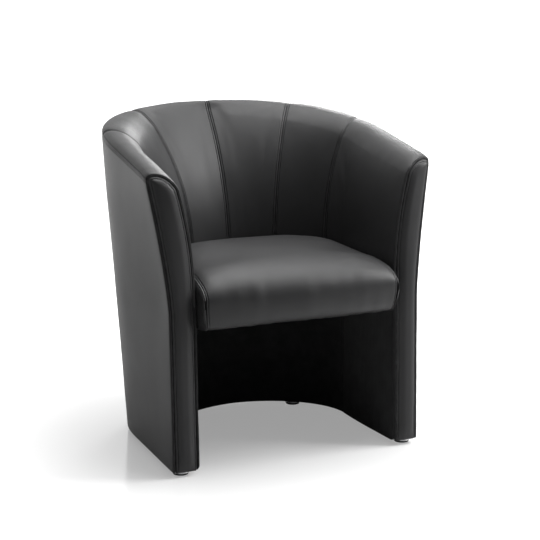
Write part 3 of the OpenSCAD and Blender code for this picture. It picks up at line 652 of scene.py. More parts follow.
class NodeBoard:
    """A node tree that is wired by short calls."""

    def __init__(self, tree: bpy.types.NodeTree) -> None:
        """Start from an empty tree."""
        self.tree = tree
        tree.nodes.clear()

    def add(self, kind: str, **values: object) -> bpy.types.Node:
        """Add a node and set its attributes."""
        node = self.tree.nodes.new(kind)
        for key, value in values.items():
            setattr(node, key, value)
        return node

    def feed(self, node: bpy.types.Node, **sources: object) -> bpy.types.Node:
        """Set or link a node's inputs, which are named with _ for a space."""
        for key, source in sources.items():
            name = key.replace("_", " ")
            numbered = name[:1] == "i" and name[1:].isdigit()
            socket = node.inputs[int(name[1:]) if numbered else name]
            if isinstance(source, bpy.types.NodeSocket):
                self.tree.links.new(source, socket)
            else:
                socket.default_value = source
        return node

    def math(self, operation: str, a: object, b: object = 0.0, clamped: bool = False) -> bpy.types.NodeSocket:
        """Return the result of one sum."""
        node = self.add("ShaderNodeMath", operation=operation, use_clamp=clamped)
        return self.feed(node, i0=a, i1=b).outputs[0]

    def blend(self, share: object, a: object, b: object) -> bpy.types.NodeSocket:
        """Return a mix of two colours."""
        node = self.add("ShaderNodeMix", data_type="RGBA")
        self.feed(node, i0=share, i6=a, i7=b)
        return node.outputs[2]

    def span(self, value: object, low: float, high: float) -> bpy.types.NodeSocket:
        """Return a value from 0 to 1 stretched to run from low to high."""
        node = self.add("ShaderNodeMapRange")
        return self.feed(node, Value=value, To_Min=low, To_Max=high).outputs[0]

    def ramp(self, value: bpy.types.NodeSocket, start: float, stop: float, low: float = 0.0,
             high: float = 1.0) -> bpy.types.NodeSocket:
        """Return a smooth rise from low to high, while a value goes from start to stop."""
        node = self.add("ShaderNodeMapRange", interpolation_type="SMOOTHSTEP")
        self.feed(node, Value=value, From_Min=start, From_Max=stop, To_Min=low, To_Max=high)
        return node.outputs[0]

    def mirrored(self, path: bpy.types.Node) -> bpy.types.NodeSocket:
        """Return 1 for a ray that comes off a mirror or through a clear body."""
        return self.math("MAXIMUM", path.outputs["Is Glossy Ray"], path.outputs["Is Transmission Ray"])


class SharedEffect:
    """A node group that several finishes use, made once."""

    made: dict[str, bpy.types.NodeTree] = {}

    @classmethod
    def group(cls, name: str, takes: Sequence[tuple[str, float | None]], gives: Sequence[str],
              wire: Callable[[NodeBoard, bpy.types.Node, bpy.types.Node], None]) -> bpy.types.NodeTree:
        """Return the group of a name, made at its first use.

        Args:
            name: name of the group.
            takes: names and first values of its inputs. None stands for a vector.
            gives: names of its outputs.
            wire: wires the group between its input node and its output node.

        Returns:
            The group.
        """
        if name not in cls.made:
            tree = bpy.data.node_groups.new(name, "ShaderNodeTree")
            for word, value in takes:
                kind = "NodeSocketVector" if value is None else "NodeSocketFloat"
                socket = tree.interface.new_socket(word, in_out="INPUT", socket_type=kind)
                if value is not None:
                    socket.default_value = value
            for word in gives:
                tree.interface.new_socket(word, in_out="OUTPUT", socket_type="NodeSocketFloat")
            board = NodeBoard(tree)
            wire(board, board.add("NodeGroupInput"), board.add("NodeGroupOutput"))
            cls.made[name] = tree
        return cls.made[name]

    @classmethod
    def grain(cls) -> bpy.types.NodeTree:
        """Pebbled grain of hide: cells with creases between them, and a slow change of tone."""
        def wire(board: NodeBoard, enter: bpy.types.Node, leave: bpy.types.Node) -> None:
            """Wire the cells, the creases and the tone."""
            where, scale = enter.outputs["Vector"], enter.outputs["Scale"]
            warp = board.feed(board.add("ShaderNodeTexNoise"), Vector=where, Scale=90.0, Detail=2.0)
            bent = board.add("ShaderNodeVectorMath", operation="MULTIPLY_ADD")
            board.feed(bent, i0=warp.outputs["Color"], i1=(0.0012, 0.0012, 0.0012), i2=where)
            cells = board.feed(board.add("ShaderNodeTexVoronoi", feature="DISTANCE_TO_EDGE"),
                               Vector=bent.outputs[0], Scale=scale)
            pores = board.feed(board.add("ShaderNodeTexNoise"), Vector=where,
                               Scale=board.math("MULTIPLY", scale, 2.6), Detail=2.0)
            plateau = board.math("SMOOTH_MIN", board.math("MULTIPLY", cells.outputs[0], 3.0), 0.8)
            height = board.math("ADD", plateau, board.math("MULTIPLY", pores.outputs[0], 0.3))
            tone = board.feed(board.add("ShaderNodeTexNoise"), Vector=where, Scale=7.0, Detail=3.0)
            board.feed(leave, Height=height, Tone=tone.outputs[0])
        return cls.group("Hide grain", [("Vector", None), ("Scale", 600.0)], ["Height", "Tone"], wire)

    @classmethod
    def wear(cls) -> bpy.types.NodeTree:
        """Broken mask of rubbed or dusty places, from how near a point is to a seam or an edge."""
        def wire(board: NodeBoard, enter: bpy.types.Node, leave: bpy.types.Node) -> None:
            """Wire the mask and its breakup."""
            spots = board.feed(board.add("ShaderNodeTexNoise"), Vector=enter.outputs["Vector"],
                               Scale=enter.outputs["Scale"], Detail=4.0, Roughness=0.6)
            broken = board.math("MULTIPLY", board.math("SUBTRACT", spots.outputs[0], 0.38), 4.0, True)
            worn = board.math("MULTIPLY", enter.outputs["Nearness"], broken, True)
            board.feed(leave, Worn=worn)
        takes = [("Vector", None), ("Scale", 60.0), ("Nearness", 0.0)]
        return cls.group("Rubbed places", takes, ["Worn"], wire)

    @classmethod
    def weave(cls) -> bpy.types.NodeTree:
        """Plain weave of threads that cross over and under."""
        def wire(board: NodeBoard, enter: bpy.types.Node, leave: bpy.types.Node) -> None:
            """Wire the two sets of threads."""
            parts = board.feed(board.add("ShaderNodeSeparateXYZ"), Vector=enter.outputs["Vector"])
            rate = board.math("MULTIPLY", enter.outputs["Scale"], math.pi)
            waves = []
            for axis in ("X", "Y", "Z"):
                turned = board.math("MULTIPLY", parts.outputs[axis], rate)
                waves.append(board.math("ABSOLUTE", board.math("SINE", turned)))
            pair = board.math("MAXIMUM", board.math("MAXIMUM", waves[0], waves[1]), waves[2])
            fuzz = board.feed(board.add("ShaderNodeTexNoise"), Vector=enter.outputs["Vector"],
                              Scale=board.math("MULTIPLY", enter.outputs["Scale"], 1.7), Detail=2.0)
            height = board.math("ADD", pair, board.math("MULTIPLY", fuzz.outputs[0], 0.4))
            board.feed(leave, Height=height, Tone=fuzz.outputs[0])
        return cls.group("Plain weave", [("Vector", None), ("Scale", 700.0)], ["Height", "Tone"], wire)

    @classmethod
    def timber(cls) -> bpy.types.NodeTree:
        """Long figure and fine pores of sawn wood."""
        def wire(board: NodeBoard, enter: bpy.types.Node, leave: bpy.types.Node) -> None:
            """Wire the rings, stretched along the wood, and the pores."""
            long = board.feed(board.add("ShaderNodeMapping"), Vector=enter.outputs["Vector"],
                              Scale=(1.0, 1.0, 8.0))
            rings = board.feed(board.add("ShaderNodeTexNoise"), Vector=long.outputs[0],
                               Scale=enter.outputs["Scale"], Detail=5.0, Distortion=0.6)
            pores = board.feed(board.add("ShaderNodeTexNoise"), Vector=long.outputs[0],
                               Scale=board.math("MULTIPLY", enter.outputs["Scale"], 22.0), Detail=2.0)
            bands = board.math("FRACT", board.math("MULTIPLY", rings.outputs[0], 9.0))
            board.feed(leave, Tone=bands, Height=pores.outputs[0])
        return cls.group("Sawn wood", [("Vector", None), ("Scale", 9.0)], ["Tone", "Height"], wire)


@dataclass(frozen=True)
class Finish:
    """A material of the chair. Each kind of finish adds its own nodes."""

    name: str
    colour: tuple[float, float, float]
    roughness: float

    def board(self) -> tuple[bpy.types.Material, NodeBoard, bpy.types.Node, bpy.types.NodeSocket]:
        """Start the material: its tree, its main shader and its coordinates."""
        material = bpy.data.materials.new(self.name)
        material.use_nodes = True
        board = NodeBoard(material.node_tree)
        shader = board.add("ShaderNodeBsdfPrincipled")
        out = board.add("ShaderNodeOutputMaterial")
        board.feed(out, Surface=shader.outputs[0])
        where = board.add("ShaderNodeTexCoord").outputs["Object"]
        board.feed(shader, Base_Color=(*self.colour, 1), Roughness=self.roughness)
        return material, board, shader, where

    @staticmethod
    def effect(board: NodeBoard, tree: bpy.types.NodeTree, **sources: object) -> bpy.types.Node:
        """Place a shared effect and feed its inputs."""
        node = board.add("ShaderNodeGroup", node_tree=tree)
        return board.feed(node, **sources)

    @staticmethod
    def bump(board: NodeBoard, shader: bpy.types.Node, height: bpy.types.NodeSocket,
             strength: float, distance: float) -> None:
        """Raise the surface by a height."""
        node = board.feed(board.add("ShaderNodeBump"), Height=height, Strength=strength, Distance=distance)
        board.feed(shader, Normal=node.outputs[0])


@dataclass(frozen=True)
class LeatherFinish(Finish):
    """Finished hide: grain, a soft shine, and rubbed places beside the seams."""

    grain_scale: float = 620.0
    grain_depth: float = 0.00022
    shine: float = 0.34

    def make(self) -> bpy.types.Material:
        """Return the material."""
        material, board, shader, where = self.board()
        grain = self.effect(board, SharedEffect.grain(), Vector=where, Scale=self.grain_scale)
        seam = board.add("ShaderNodeAttribute", attribute_name="seam").outputs["Fac"]
        worn = self.effect(board, SharedEffect.wear(), Vector=where, Scale=70.0, Nearness=seam)
        dark = tuple(c * 0.72 for c in self.colour)
        pale = tuple(c * 1.35 + 0.002 for c in self.colour)
        toned = board.blend(grain.outputs["Tone"], (*dark, 1), (*self.colour, 1))
        board.feed(shader, Base_Color=board.blend(worn.outputs["Worn"], toned, (*pale, 1)))
        rough = board.span(grain.outputs["Tone"], self.roughness - 0.05, self.roughness + 0.07)
        rubbed = board.math("SUBTRACT", rough, board.math("MULTIPLY", worn.outputs["Worn"], 0.06))
        board.feed(shader, Roughness=rubbed)
        shader.inputs["Specular IOR Level"].default_value = self.shine
        self.bump(board, shader, grain.outputs["Height"], 0.5, self.grain_depth)
        return material


@dataclass(frozen=True)
class ClothFinish(Finish):
    """Woven or felted cloth."""

    thread_scale: float = 900.0
    thread_depth: float = 0.0003
    sheen: float = 0.2
    shine: float = 0.3

    def make(self) -> bpy.types.Material:
        """Return the material."""
        material, board, shader, where = self.board()
        weave = self.effect(board, SharedEffect.weave(), Vector=where, Scale=self.thread_scale)
        dust = self.effect(board, SharedEffect.wear(), Vector=where, Scale=30.0, Nearness=0.5)
        dark = tuple(c * 0.6 for c in self.colour)
        toned = board.blend(weave.outputs["Tone"], (*dark, 1), (*self.colour, 1))
        pale = tuple(c * 1.25 + 0.01 for c in self.colour)
        board.feed(shader, Base_Color=board.blend(dust.outputs["Worn"], toned, (*pale, 1)))
        shader.inputs["Sheen Weight"].default_value = self.sheen
        shader.inputs["Specular IOR Level"].default_value = self.shine
        self.bump(board, shader, weave.outputs["Height"], 0.6, self.thread_depth)
        return material


@dataclass(frozen=True)
class FoamFinish(Finish):
    """Open cells of foam, or the loose fibre of wadding."""

    cell_scale: float = 900.0

    def make(self) -> bpy.types.Material:
        """Return the material."""
        material, board, shader, where = self.board()
        cells = board.feed(board.add("ShaderNodeTexVoronoi"), Vector=where, Scale=self.cell_scale)
        dark = tuple(c * 0.75 for c in self.colour)
        board.feed(shader, Base_Color=board.blend(cells.outputs["Distance"], (*dark, 1), (*self.colour, 1)))
        self.bump(board, shader, cells.outputs["Distance"], 0.7, 0.0006)
        return material


@dataclass(frozen=True)
class WoodFinish(Finish):
    """Sawn timber or bent board."""

    figure: float = 9.0
    contrast: float = 0.7

    def make(self) -> bpy.types.Material:
        """Return the material."""
        material, board, shader, where = self.board()
        wood = self.effect(board, SharedEffect.timber(), Vector=where, Scale=self.figure)
        dark = tuple(c * self.contrast for c in self.colour)
        board.feed(shader, Base_Color=board.blend(wood.outputs["Tone"], (*dark, 1), (*self.colour, 1)))
        board.feed(shader, Roughness=board.span(wood.outputs["Height"], self.roughness - 0.1, self.roughness))
        self.bump(board, shader, wood.outputs["Height"], 0.4, 0.0004)
        return material


@dataclass(frozen=True)
class MetalFinish(Finish):
    """Plated steel with fine rubbing marks."""

    def make(self) -> bpy.types.Material:
        """Return the material."""
        material, board, shader, where = self.board()
        marks = self.effect(board, SharedEffect.wear(), Vector=where, Scale=160.0, Nearness=0.6)
        low, high = self.roughness, self.roughness + 0.12
        board.feed(shader, Metallic=1.0, Roughness=board.span(marks.outputs["Worn"], low, high))
        dull = tuple(c * 0.88 for c in self.colour)
        board.feed(shader, Base_Color=board.blend(marks.outputs["Worn"], (*self.colour, 1), (*dull, 1)))
        return material


@dataclass(frozen=True)
class PadFinish(Finish):
    """Moulded rubber with a fine tooth."""

    def make(self) -> bpy.types.Material:
        """Return the material."""
        material, board, shader, where = self.board()
        tooth = board.feed(board.add("ShaderNodeTexNoise"), Vector=where, Scale=1500.0, Detail=2.0)
        dust = self.effect(board, SharedEffect.wear(), Vector=where, Scale=90.0, Nearness=0.5)
        pale = tuple(c * 1.6 + 0.01 for c in self.colour)
        board.feed(shader, Base_Color=board.blend(dust.outputs["Worn"], (*self.colour, 1), (*pale, 1)))
        self.bump(board, shader, tooth.outputs[0], 0.5, 0.0002)
        return material


@dataclass(frozen=True)
class Palette:
    """All the chair's materials."""

    leather: bpy.types.Material
    thread: bpy.types.Material
    edge_thread: bpy.types.Material
    lining: bpy.types.Material
    webbing: bpy.types.Material
    foam: bpy.types.Material
    wadding: bpy.types.Material
    board: bpy.types.Material
    timber: bpy.types.Material
    steel: bpy.types.Material
    chrome: bpy.types.Material
    pad: bpy.types.Material

    @staticmethod
    def mixed() -> "Palette":
        """Return the palette with every finish made."""
        return Palette(
            leather=LeatherFinish("Black leather", (0.038, 0.038, 0.039), 0.43).make(),
            thread=ClothFinish("Black thread", (0.010, 0.010, 0.011), 0.8, 1500.0, 0.0001, 0.02, 0.1).make(),
            # Thread much paler than the black thread, used only on the front edges as a painted highlight
            # where those stitches catch the light.
            edge_thread=ClothFinish("Pale thread painted as highlight", (0.085, 0.085, 0.085), 0.4, 1500.0, 0.0001, 0.1,
                                    0.5).make(),
            lining=ClothFinish("Black lining", (0.012, 0.012, 0.013), 0.85, 900.0, 0.0002, 0.15).make(),
            webbing=ClothFinish("Elastic webbing", (0.05, 0.05, 0.052), 0.8, 420.0, 0.0005, 0.2).make(),
            foam=FoamFinish("Cut foam", (0.80, 0.74, 0.56), 0.9).make(),
            wadding=FoamFinish("Fibre wadding", (0.86, 0.86, 0.84), 0.95, 420.0).make(),
            board=WoodFinish("Bent board", (0.50, 0.37, 0.23), 0.7, 14.0, 0.82).make(),
            timber=WoodFinish("Sawn beech", (0.62, 0.46, 0.29), 0.65, 9.0, 0.7).make(),
            steel=MetalFinish("Zinc plate", (0.62, 0.63, 0.65), 0.32).make(),
            chrome=MetalFinish("Bright chrome", (0.80, 0.80, 0.81), 0.07).make(),
            pad=PadFinish("Black rubber", (0.02, 0.02, 0.02), 0.7).make(),
        )

    def dress_frame(self) -> None:
        """Give every carried-over solid its own finish."""
        for row in frame["record"]["subparts"]:
            solid = frame["nodes"][row["node"]]
            finish = getattr(self, row["material_slot"])
            for place in solid.material_slots:
                place.material = finish
            if not solid.material_slots:
                solid.data.materials.append(finish)


@dataclass(frozen=True)
class Thread:
    """Rows of stitches, each a short thread that bows out of the leather."""

    length: float = 0.0036
    pitch: float = 0.0052
    radius: float = 0.00050
    flatness: float = 0.9
    proud: float = 0.25

    def row(self, mesh: BMesh, path: Sequence[tuple[Vector, Vector]]) -> int:
        """Sew one row along a path.

        Args:
            mesh: takes the stitches.
            path: points of the leather's face, each with its normal.

        Returns:
            The number of stitches.
        """
        row = bmesh.new()
        left, count = self.pitch / 2, 0
        for (a, na), (b, nb) in zip(path, path[1:]):
            gap = (b - a).length
            if gap < 1e-7:
                continue
            while left <= gap:
                share = left / gap
                normal = na.lerp(nb, share).normalized()
                self.stitch(row, a.lerp(b, share), (b - a) / gap, normal)
                left += self.pitch
                count += 1
            left -= gap
        data = bpy.data.meshes.new("row")
        row.to_mesh(data)
        row.free()
        mesh.from_mesh(data)
        bpy.data.meshes.remove(data)
        return count

    def stitch(self, mesh: BMesh, centre: Vector, along: Vector, normal: Vector) -> None:
        """Lay one stitch at a point of the leather."""
        across = normal.cross(along).normalized()
        up = along.cross(across).normalized()
        turn = Matrix((across, along, up)).transposed().to_4x4()
        size = Matrix.Diagonal((self.radius, self.length / 2, self.radius * self.flatness, 1))
        seat = Matrix.Translation(centre + up * self.radius * self.proud)
        bmesh.ops.create_uvsphere(mesh, u_segments=6, v_segments=5, radius=1,
                                  matrix=seat @ turn @ size @ Matrix.Rotation(math.pi / 2, 4, "X"))

    def piece(self, name: str, paths: Sequence[Sequence[tuple[Vector, Vector]]], finish: bpy.types.Material
              ) -> bpy.types.Object:
        """Sew several rows into one piece that rides with the chair."""
        mesh = bmesh.new()
        count = sum(self.row(mesh, path) for path in paths)
        piece = to_object(mesh, name, finish, sharp=3.0)
        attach(piece, CHAIR)
        LOG.info("%s: %d stitches", name, count)
        return piece


THREAD = Thread()


@dataclass
class InsidePanels:
    """The six padded panels of the tub's inside, which roll over the crest to the outer seam."""

    palette: Palette
    seam_angles: tuple[float, ...] = (18, 54, 90, 126, 162)
    swell: float = 0.0010
    stuffing: Stuffing = Stuffing(0.0030)
    skew: float = math.radians(4)
    foam_back: float = 0.0176
    former_drop: float = 0.0544
    foam_turn: float = 0.85
    foam_front: float = 0.19
    former_side: float = 0.0092
    under_seam: float = 0.0028
    under_cover: float = 0.0026
    lip_columns: int = 5
    lip_depth: float = 0.007
    lip_back: float = 0.0075
    arm_middle: int = 44
    back_middle: int = 24
    middle_radius: float = 0.27
    rows_up: int = 26
    rows_over: int = 19

    def names(self) -> list[tuple[str, str, Station, Station]]:
        """Each panel's node, its foam's node, and the stations of its two ends."""
        front = Station(0.0, WALL.arm_end)
        seams = [Station(math.radians(a)) for a in self.seam_angles]
        ends = [front, *seams, front.mirrored()]
        words = ["inside_arm_right", "side_back_panel_right", "centre_back_panel_right",
                 "centre_back_panel_left", "side_back_panel_left", "inside_arm_left"]
        foams = [w.replace("inside_arm", "arm_foam").replace("_panel", "_foam") for w in words]
        return list(zip(words, foams, ends, ends[1:]))

    def levels(self) -> list[tuple[float, float]]:
        """Rows of a panel, as a share of its height and a turn over the crest, from the seat upwards."""
        up = [(i / self.rows_up, math.pi) for i in range(self.rows_up)]
        fine = [math.asin(d / WALL.crest_rise()) for d in SEAM.offsets()]
        over = [mix(math.pi, fine[-1], i / self.rows_over) for i in range(self.rows_over)]
        return up + [(1.0, t) for t in over + fine[::-1]]

    def over_crest(self, seam: Station, turn: float) -> Station:
        """Station of a seam at a turn over the crest. The seams behind the arms run backwards there."""
        shift = self.skew * (1 + math.cos(turn)) / 2
        if abs(math.degrees(seam.angle) - self.seam_angles[0]) < 1:
            return Station(seam.angle + shift, seam.ahead)
        if abs(math.degrees(seam.angle) - self.seam_angles[-1]) < 1:
            return Station(seam.angle - shift, seam.ahead)
        return seam

    def panel(self, start: Station, end: Station
              ) -> tuple[Sheet, list[tuple[float, float]], Callable[[int, int], float]]:
        """Bend one panel.

        Args:
            start: station of its right end.
            end: station of its left end.

        Returns:
            The sheet, its rows, and the distance of each place from what holds it.
        """
        levels = self.levels()
        middle = self.arm_middle if start.ahead or end.ahead else self.back_middle
        count = len(graded(0.3, middle))

        def spot(i: int, j: int) -> tuple[Station, float, float, float]:
            """Station of a place, its distances from the two ends, and its swell's share."""
            share, turn = levels[j]
            both = WALL.length(start, self.middle_radius) + WALL.length(end, self.middle_radius)
            middle_at = WALL.station(both / 2, self.middle_radius)
            z = mix(WALL.panel_bottom, WALL.shoulder_z(middle_at), share)
            radius = mix(WALL.outer_r(middle_at, z), WALL.inner_r(middle_at, z), (1 - math.cos(turn)) / 2)
            first = WALL.length(self.over_crest(start, turn), radius)
            last = WALL.length(self.over_crest(end, turn), radius)
            pos = graded(last - first, middle)[i]
            return WALL.station(first + pos, radius), pos, last - first - pos, pos / (last - first)

        spots = {(i, j): spot(i, j) for i in range(count) for j in range(len(levels))}

        def point(i: int, j: int) -> Vector:
            """Place of a point of the swelled face."""
            share, turn = levels[j]
            at, _, _, across = spots[i, j]
            grow = self.swell * (1 - abs(2 * across - 1) ** 2.6) * clamp(share / 0.42)
            if share < 1:
                return WALL.inner(at, mix(WALL.panel_bottom, WALL.shoulder_z(at), share), -grow)
            return WALL.crest(at, turn, -grow * math.sin(turn / 2))

        sheet = Sheet(count, len(levels), point, flip=True)

        def edge(i: int, j: int) -> tuple[float, float]:
            """Distance from the nearest side seam and from the outer seam."""
            _, a, b, _ = spots[i, j]
            share, turn = levels[j]
            top = WALL.crest_rise() * math.sin(turn) if share == 1 and turn < math.pi / 2 else 1.0
            return min(a, b), top

        def depth(i: int, j: int, at: Vector) -> float:
            """Depth of the leather below its face."""
            side, top = edge(i, j)
            soft = unevenness(at, 0.07, 0.0011) + unevenness(at, 0.028, 0.0004)
            hold = clamp(min(side, top) / 0.02)
            return SEAM.dip(side, at.z) + SEAM.dip(top, at.x + at.y) + soft * hold

        def held(i: int, j: int) -> float:
            """Distance from a seam or from the panel's lower edge."""
            return min(*edge(i, j), levels[j][0] * (WALL.arm_height - WALL.panel_bottom))

        sheet.sink(depth)
        sheet.mark(lambda i, j: min(edge(i, j)))
        return sheet, levels, held

    def back_point(self, sheet: Sheet, levels: list[tuple[float, float]], start: Station, end: Station
                   ) -> Callable[[int, int], Vector]:
        """Return the place of each point of the foam's back."""
        turning = [j for j, (share, _) in enumerate(levels) if share > self.foam_turn]

        def back(i: int, j: int) -> Vector:
            """Place of one point."""
            pos = i / (sheet.columns - 1)
            first, last = WALL.length(start, self.middle_radius), WALL.length(end, self.middle_radius)
            at = WALL.station(mix(first, last, pos), self.middle_radius)
            from_front = i if start.ahead else sheet.columns - 1 - i if end.ahead else sheet.columns
            lip = min(1.0, from_front / self.lip_columns)
            if lip < 1:
                at = Station(at.angle, WALL.arm_front - WALL.corner)
            elif at.ahead > self.foam_front:
                at = Station(at.angle, self.foam_front)
            share, turn = levels[j]
            level = mix(WALL.panel_bottom, WALL.shoulder_z(at), share)
            full = full_point(at, level, j)
            if lip == 1:
                return full
            over = share == 1
            near = WALL.crest(at, turn, self.lip_depth) if over else WALL.inner(at, level, self.lip_depth)
            return near.lerp(full, lip) + Vector((0, self.lip_back, 0))

        def full_point(at: Station, level: float, j: int) -> Vector:
            """Place of one point of the back away from the arm fronts."""
            if levels[j][0] <= self.foam_turn:
                return WALL.inner(at, level, self.foam_back)
            top, seam = WALL.crest_z(at) - self.former_drop, WALL.outer_seam_z(at) - self.under_seam
            path = [WALL.inner(at, top, self.foam_back), WALL.outer(at, top, self.former_side),
                    WALL.outer(at, seam, self.former_side), WALL.outer(at, seam, self.under_cover)]
            along = (j - turning[0]) / (len(turning) - 1) * (len(path) - 1)
            k = min(int(along), len(path) - 2)
            return path[k].lerp(path[k + 1], along - k)
        return back

    def build(self) -> None:
        """Make the six panels and the stitches beside their seams."""
        offset = SEAM.stitch_line()
        for name, foam, start, end in self.names():
            sheet, levels, held = self.panel(start, end)
            last, top = sheet.columns - 1, sheet.rows - 1
            rows, front = [], []
            for column, ahead in ((offset, start.ahead), (last - offset, end.ahead)):
                (front if ahead else rows).append(sheet.line([(column, j) for j in range(top - offset + 1)]))
            rows.append(sheet.line([(i, top - offset) for i in range(offset, last - offset + 1)]))
            if front:
                # The front-edge rows are sewn with the pale thread, a painted highlight along the arm fronts.
                THREAD.piece(name + "_edge_stitches", front, self.palette.edge_thread)
            sheet.fill_behind(self.back_point(sheet, levels, start, end), 0, 1)
            self.stuffing.swell(sheet, held, name)
            piece = sheet.finish(name + "_pad", self.palette.leather, self.palette.foam)
            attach(piece, CHAIR)
            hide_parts(name, foam)
            LOG.info("%s: %d faces", piece.name, len(piece.data.polygons))
            THREAD.piece(name + "_stitches", rows, self.palette.thread)


@dataclass
class OuterWrap:
    """The one-piece outer cover with its hem, and the wadding behind it."""

    palette: Palette
    thickness: float = 0.0014
    hem: float = 0.014
    rows_up: int = 44
    middle: int = 190
    radius: float = 0.31
    wadding_drop: float = 0.007

    def build(self) -> None:
        """Make the cover, its stitches and its wadding."""
        width = math.pi * self.radius + 2 * WALL.arm_end
        across = graded(width, self.middle)
        gap = WALL.floor_gap
        hem = [(gap, self.hem), (gap, 0.0045), (gap + 0.0003, 0.0022), (gap + 0.0012, 0.0009),
               (gap + 0.0028, 0.0002)]
        fine = SEAM.offsets()[::-1]
        count = len(hem) + self.rows_up + len(fine)

        def at(i: int) -> Station:
            """Station of a column."""
            return WALL.station(across[i] - WALL.arm_end, self.radius)

        def point(i: int, j: int) -> Vector:
            """Place of a point of the cover."""
            here = at(i)
            top = WALL.outer_seam_z(here)
            if j < len(hem):
                level, tuck = hem[j]
                tuck = WALL.hem_tuck(tuck, self.hem, min(across[i], width - across[i]))
                angle = WALL.corner_turn(here)[2]
                behind = Vector((0, tuck * math.sin(angle), 0))
                return WALL.outer(here, level, tuck * math.cos(angle)) + behind
            k = j - len(hem)
            if k < self.rows_up:
                return WALL.outer(here, mix(gap + 0.005, top - fine[0], k / self.rows_up))
            return WALL.outer(here, top - fine[k - self.rows_up])

        sheet = Sheet(len(across), count, point, flip=False)

        def edge(i: int, j: int) -> tuple[float, float]:
            """Distance from the nearest end and from the top seam."""
            k = j - len(hem) - self.rows_up
            return min(across[i], width - across[i]), fine[k] if k >= 0 else 1.0

        def depth(i: int, j: int, at: Vector) -> float:
            """Depth of the leather below its face."""
            end, top = edge(i, j)
            soft = unevenness(at, 0.16, 0.0012) + unevenness(at, 0.05, 0.0003)
            hold = clamp(min(end, top, at.z - gap) / 0.03)
            return SEAM.dip(end, at.z) + SEAM.dip(top, at.x + at.y) + soft * hold

        sheet.sink(depth)
        sheet.mark(lambda i, j: min(edge(i, j)))
        area = sheet.area()
        offset = SEAM.stitch_line()
        level = count - 1 - offset
        rows = [sheet.line([(i, level) for i in range(offset, len(across) - offset)])]
        for column in (offset, len(across) - 1 - offset):
            rows.append(sheet.line([(column, j) for j in range(len(hem) + 1, level + 1)]))
        sheet.thicken(self.thickness)
        cover = sheet.finish("outer_wrap", self.palette.leather)
        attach(cover, CHAIR)
        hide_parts("outer_cover")
        LOG.info("outer_wrap: %.3f square metres", area)
        THREAD.piece("outer_wrap_stitches", rows, self.palette.thread)
        CopiedForm.build("outer_wadding", self.palette.wadding, "wadding", self.below_seam)

    def below_seam(self, point: Vector) -> Vector:
        """Keep a point of the wadding clear of the groove at the cover's top."""
        limit = WALL.outer_seam_z(WALL.station_at(point)) - self.wadding_drop
        return Vector((point.x, point.y, min(point.z, limit)))


class CopiedForm:
    """A hidden soft part that keeps its solid's form, with its facets softened."""

    @staticmethod
    def build(node: str, finish: bpy.types.Material, slot: str,
              fit: Callable[[Vector], Vector] | None = None) -> bpy.types.Object:
        """Copy a solid's mesh into a piece that replaces it.

        Args:
            node: name of the solid.
            finish: its material.
            slot: the record's material slot; not used.
            fit: moves each point to its place in the dressed chair.

        Returns:
            The new piece.
        """
        mesh = bmesh.new()
        mesh.from_mesh(frame["nodes"][node].data)
        bmesh.ops.remove_doubles(mesh, verts=mesh.verts[:], dist=1e-6)
        bmesh.ops.recalc_face_normals(mesh, faces=mesh.faces[:])
        for vert in mesh.verts if fit else ():
            vert.co = fit(vert.co)
        piece = to_object(mesh, node + "_form", finish)
        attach(piece, CHAIR)
        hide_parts(node)
        return piece

    @classmethod
    def build_cloth(cls, node: str, finish: bpy.types.Material, cut: tuple[float, float], rests: str) -> None:
        """Args:
            node: name of the solid.
            finish: its material.
            cut: width and length of the cloth that it is cut from; not used.
            rests: node that it is fixed to; not used.
        """
        piece = cls.build(node, finish, "lining")
        area = sum(face.area for face in piece.data.polygons) / 2
        LOG.info("%s: %.4f square metres", piece.name, area)


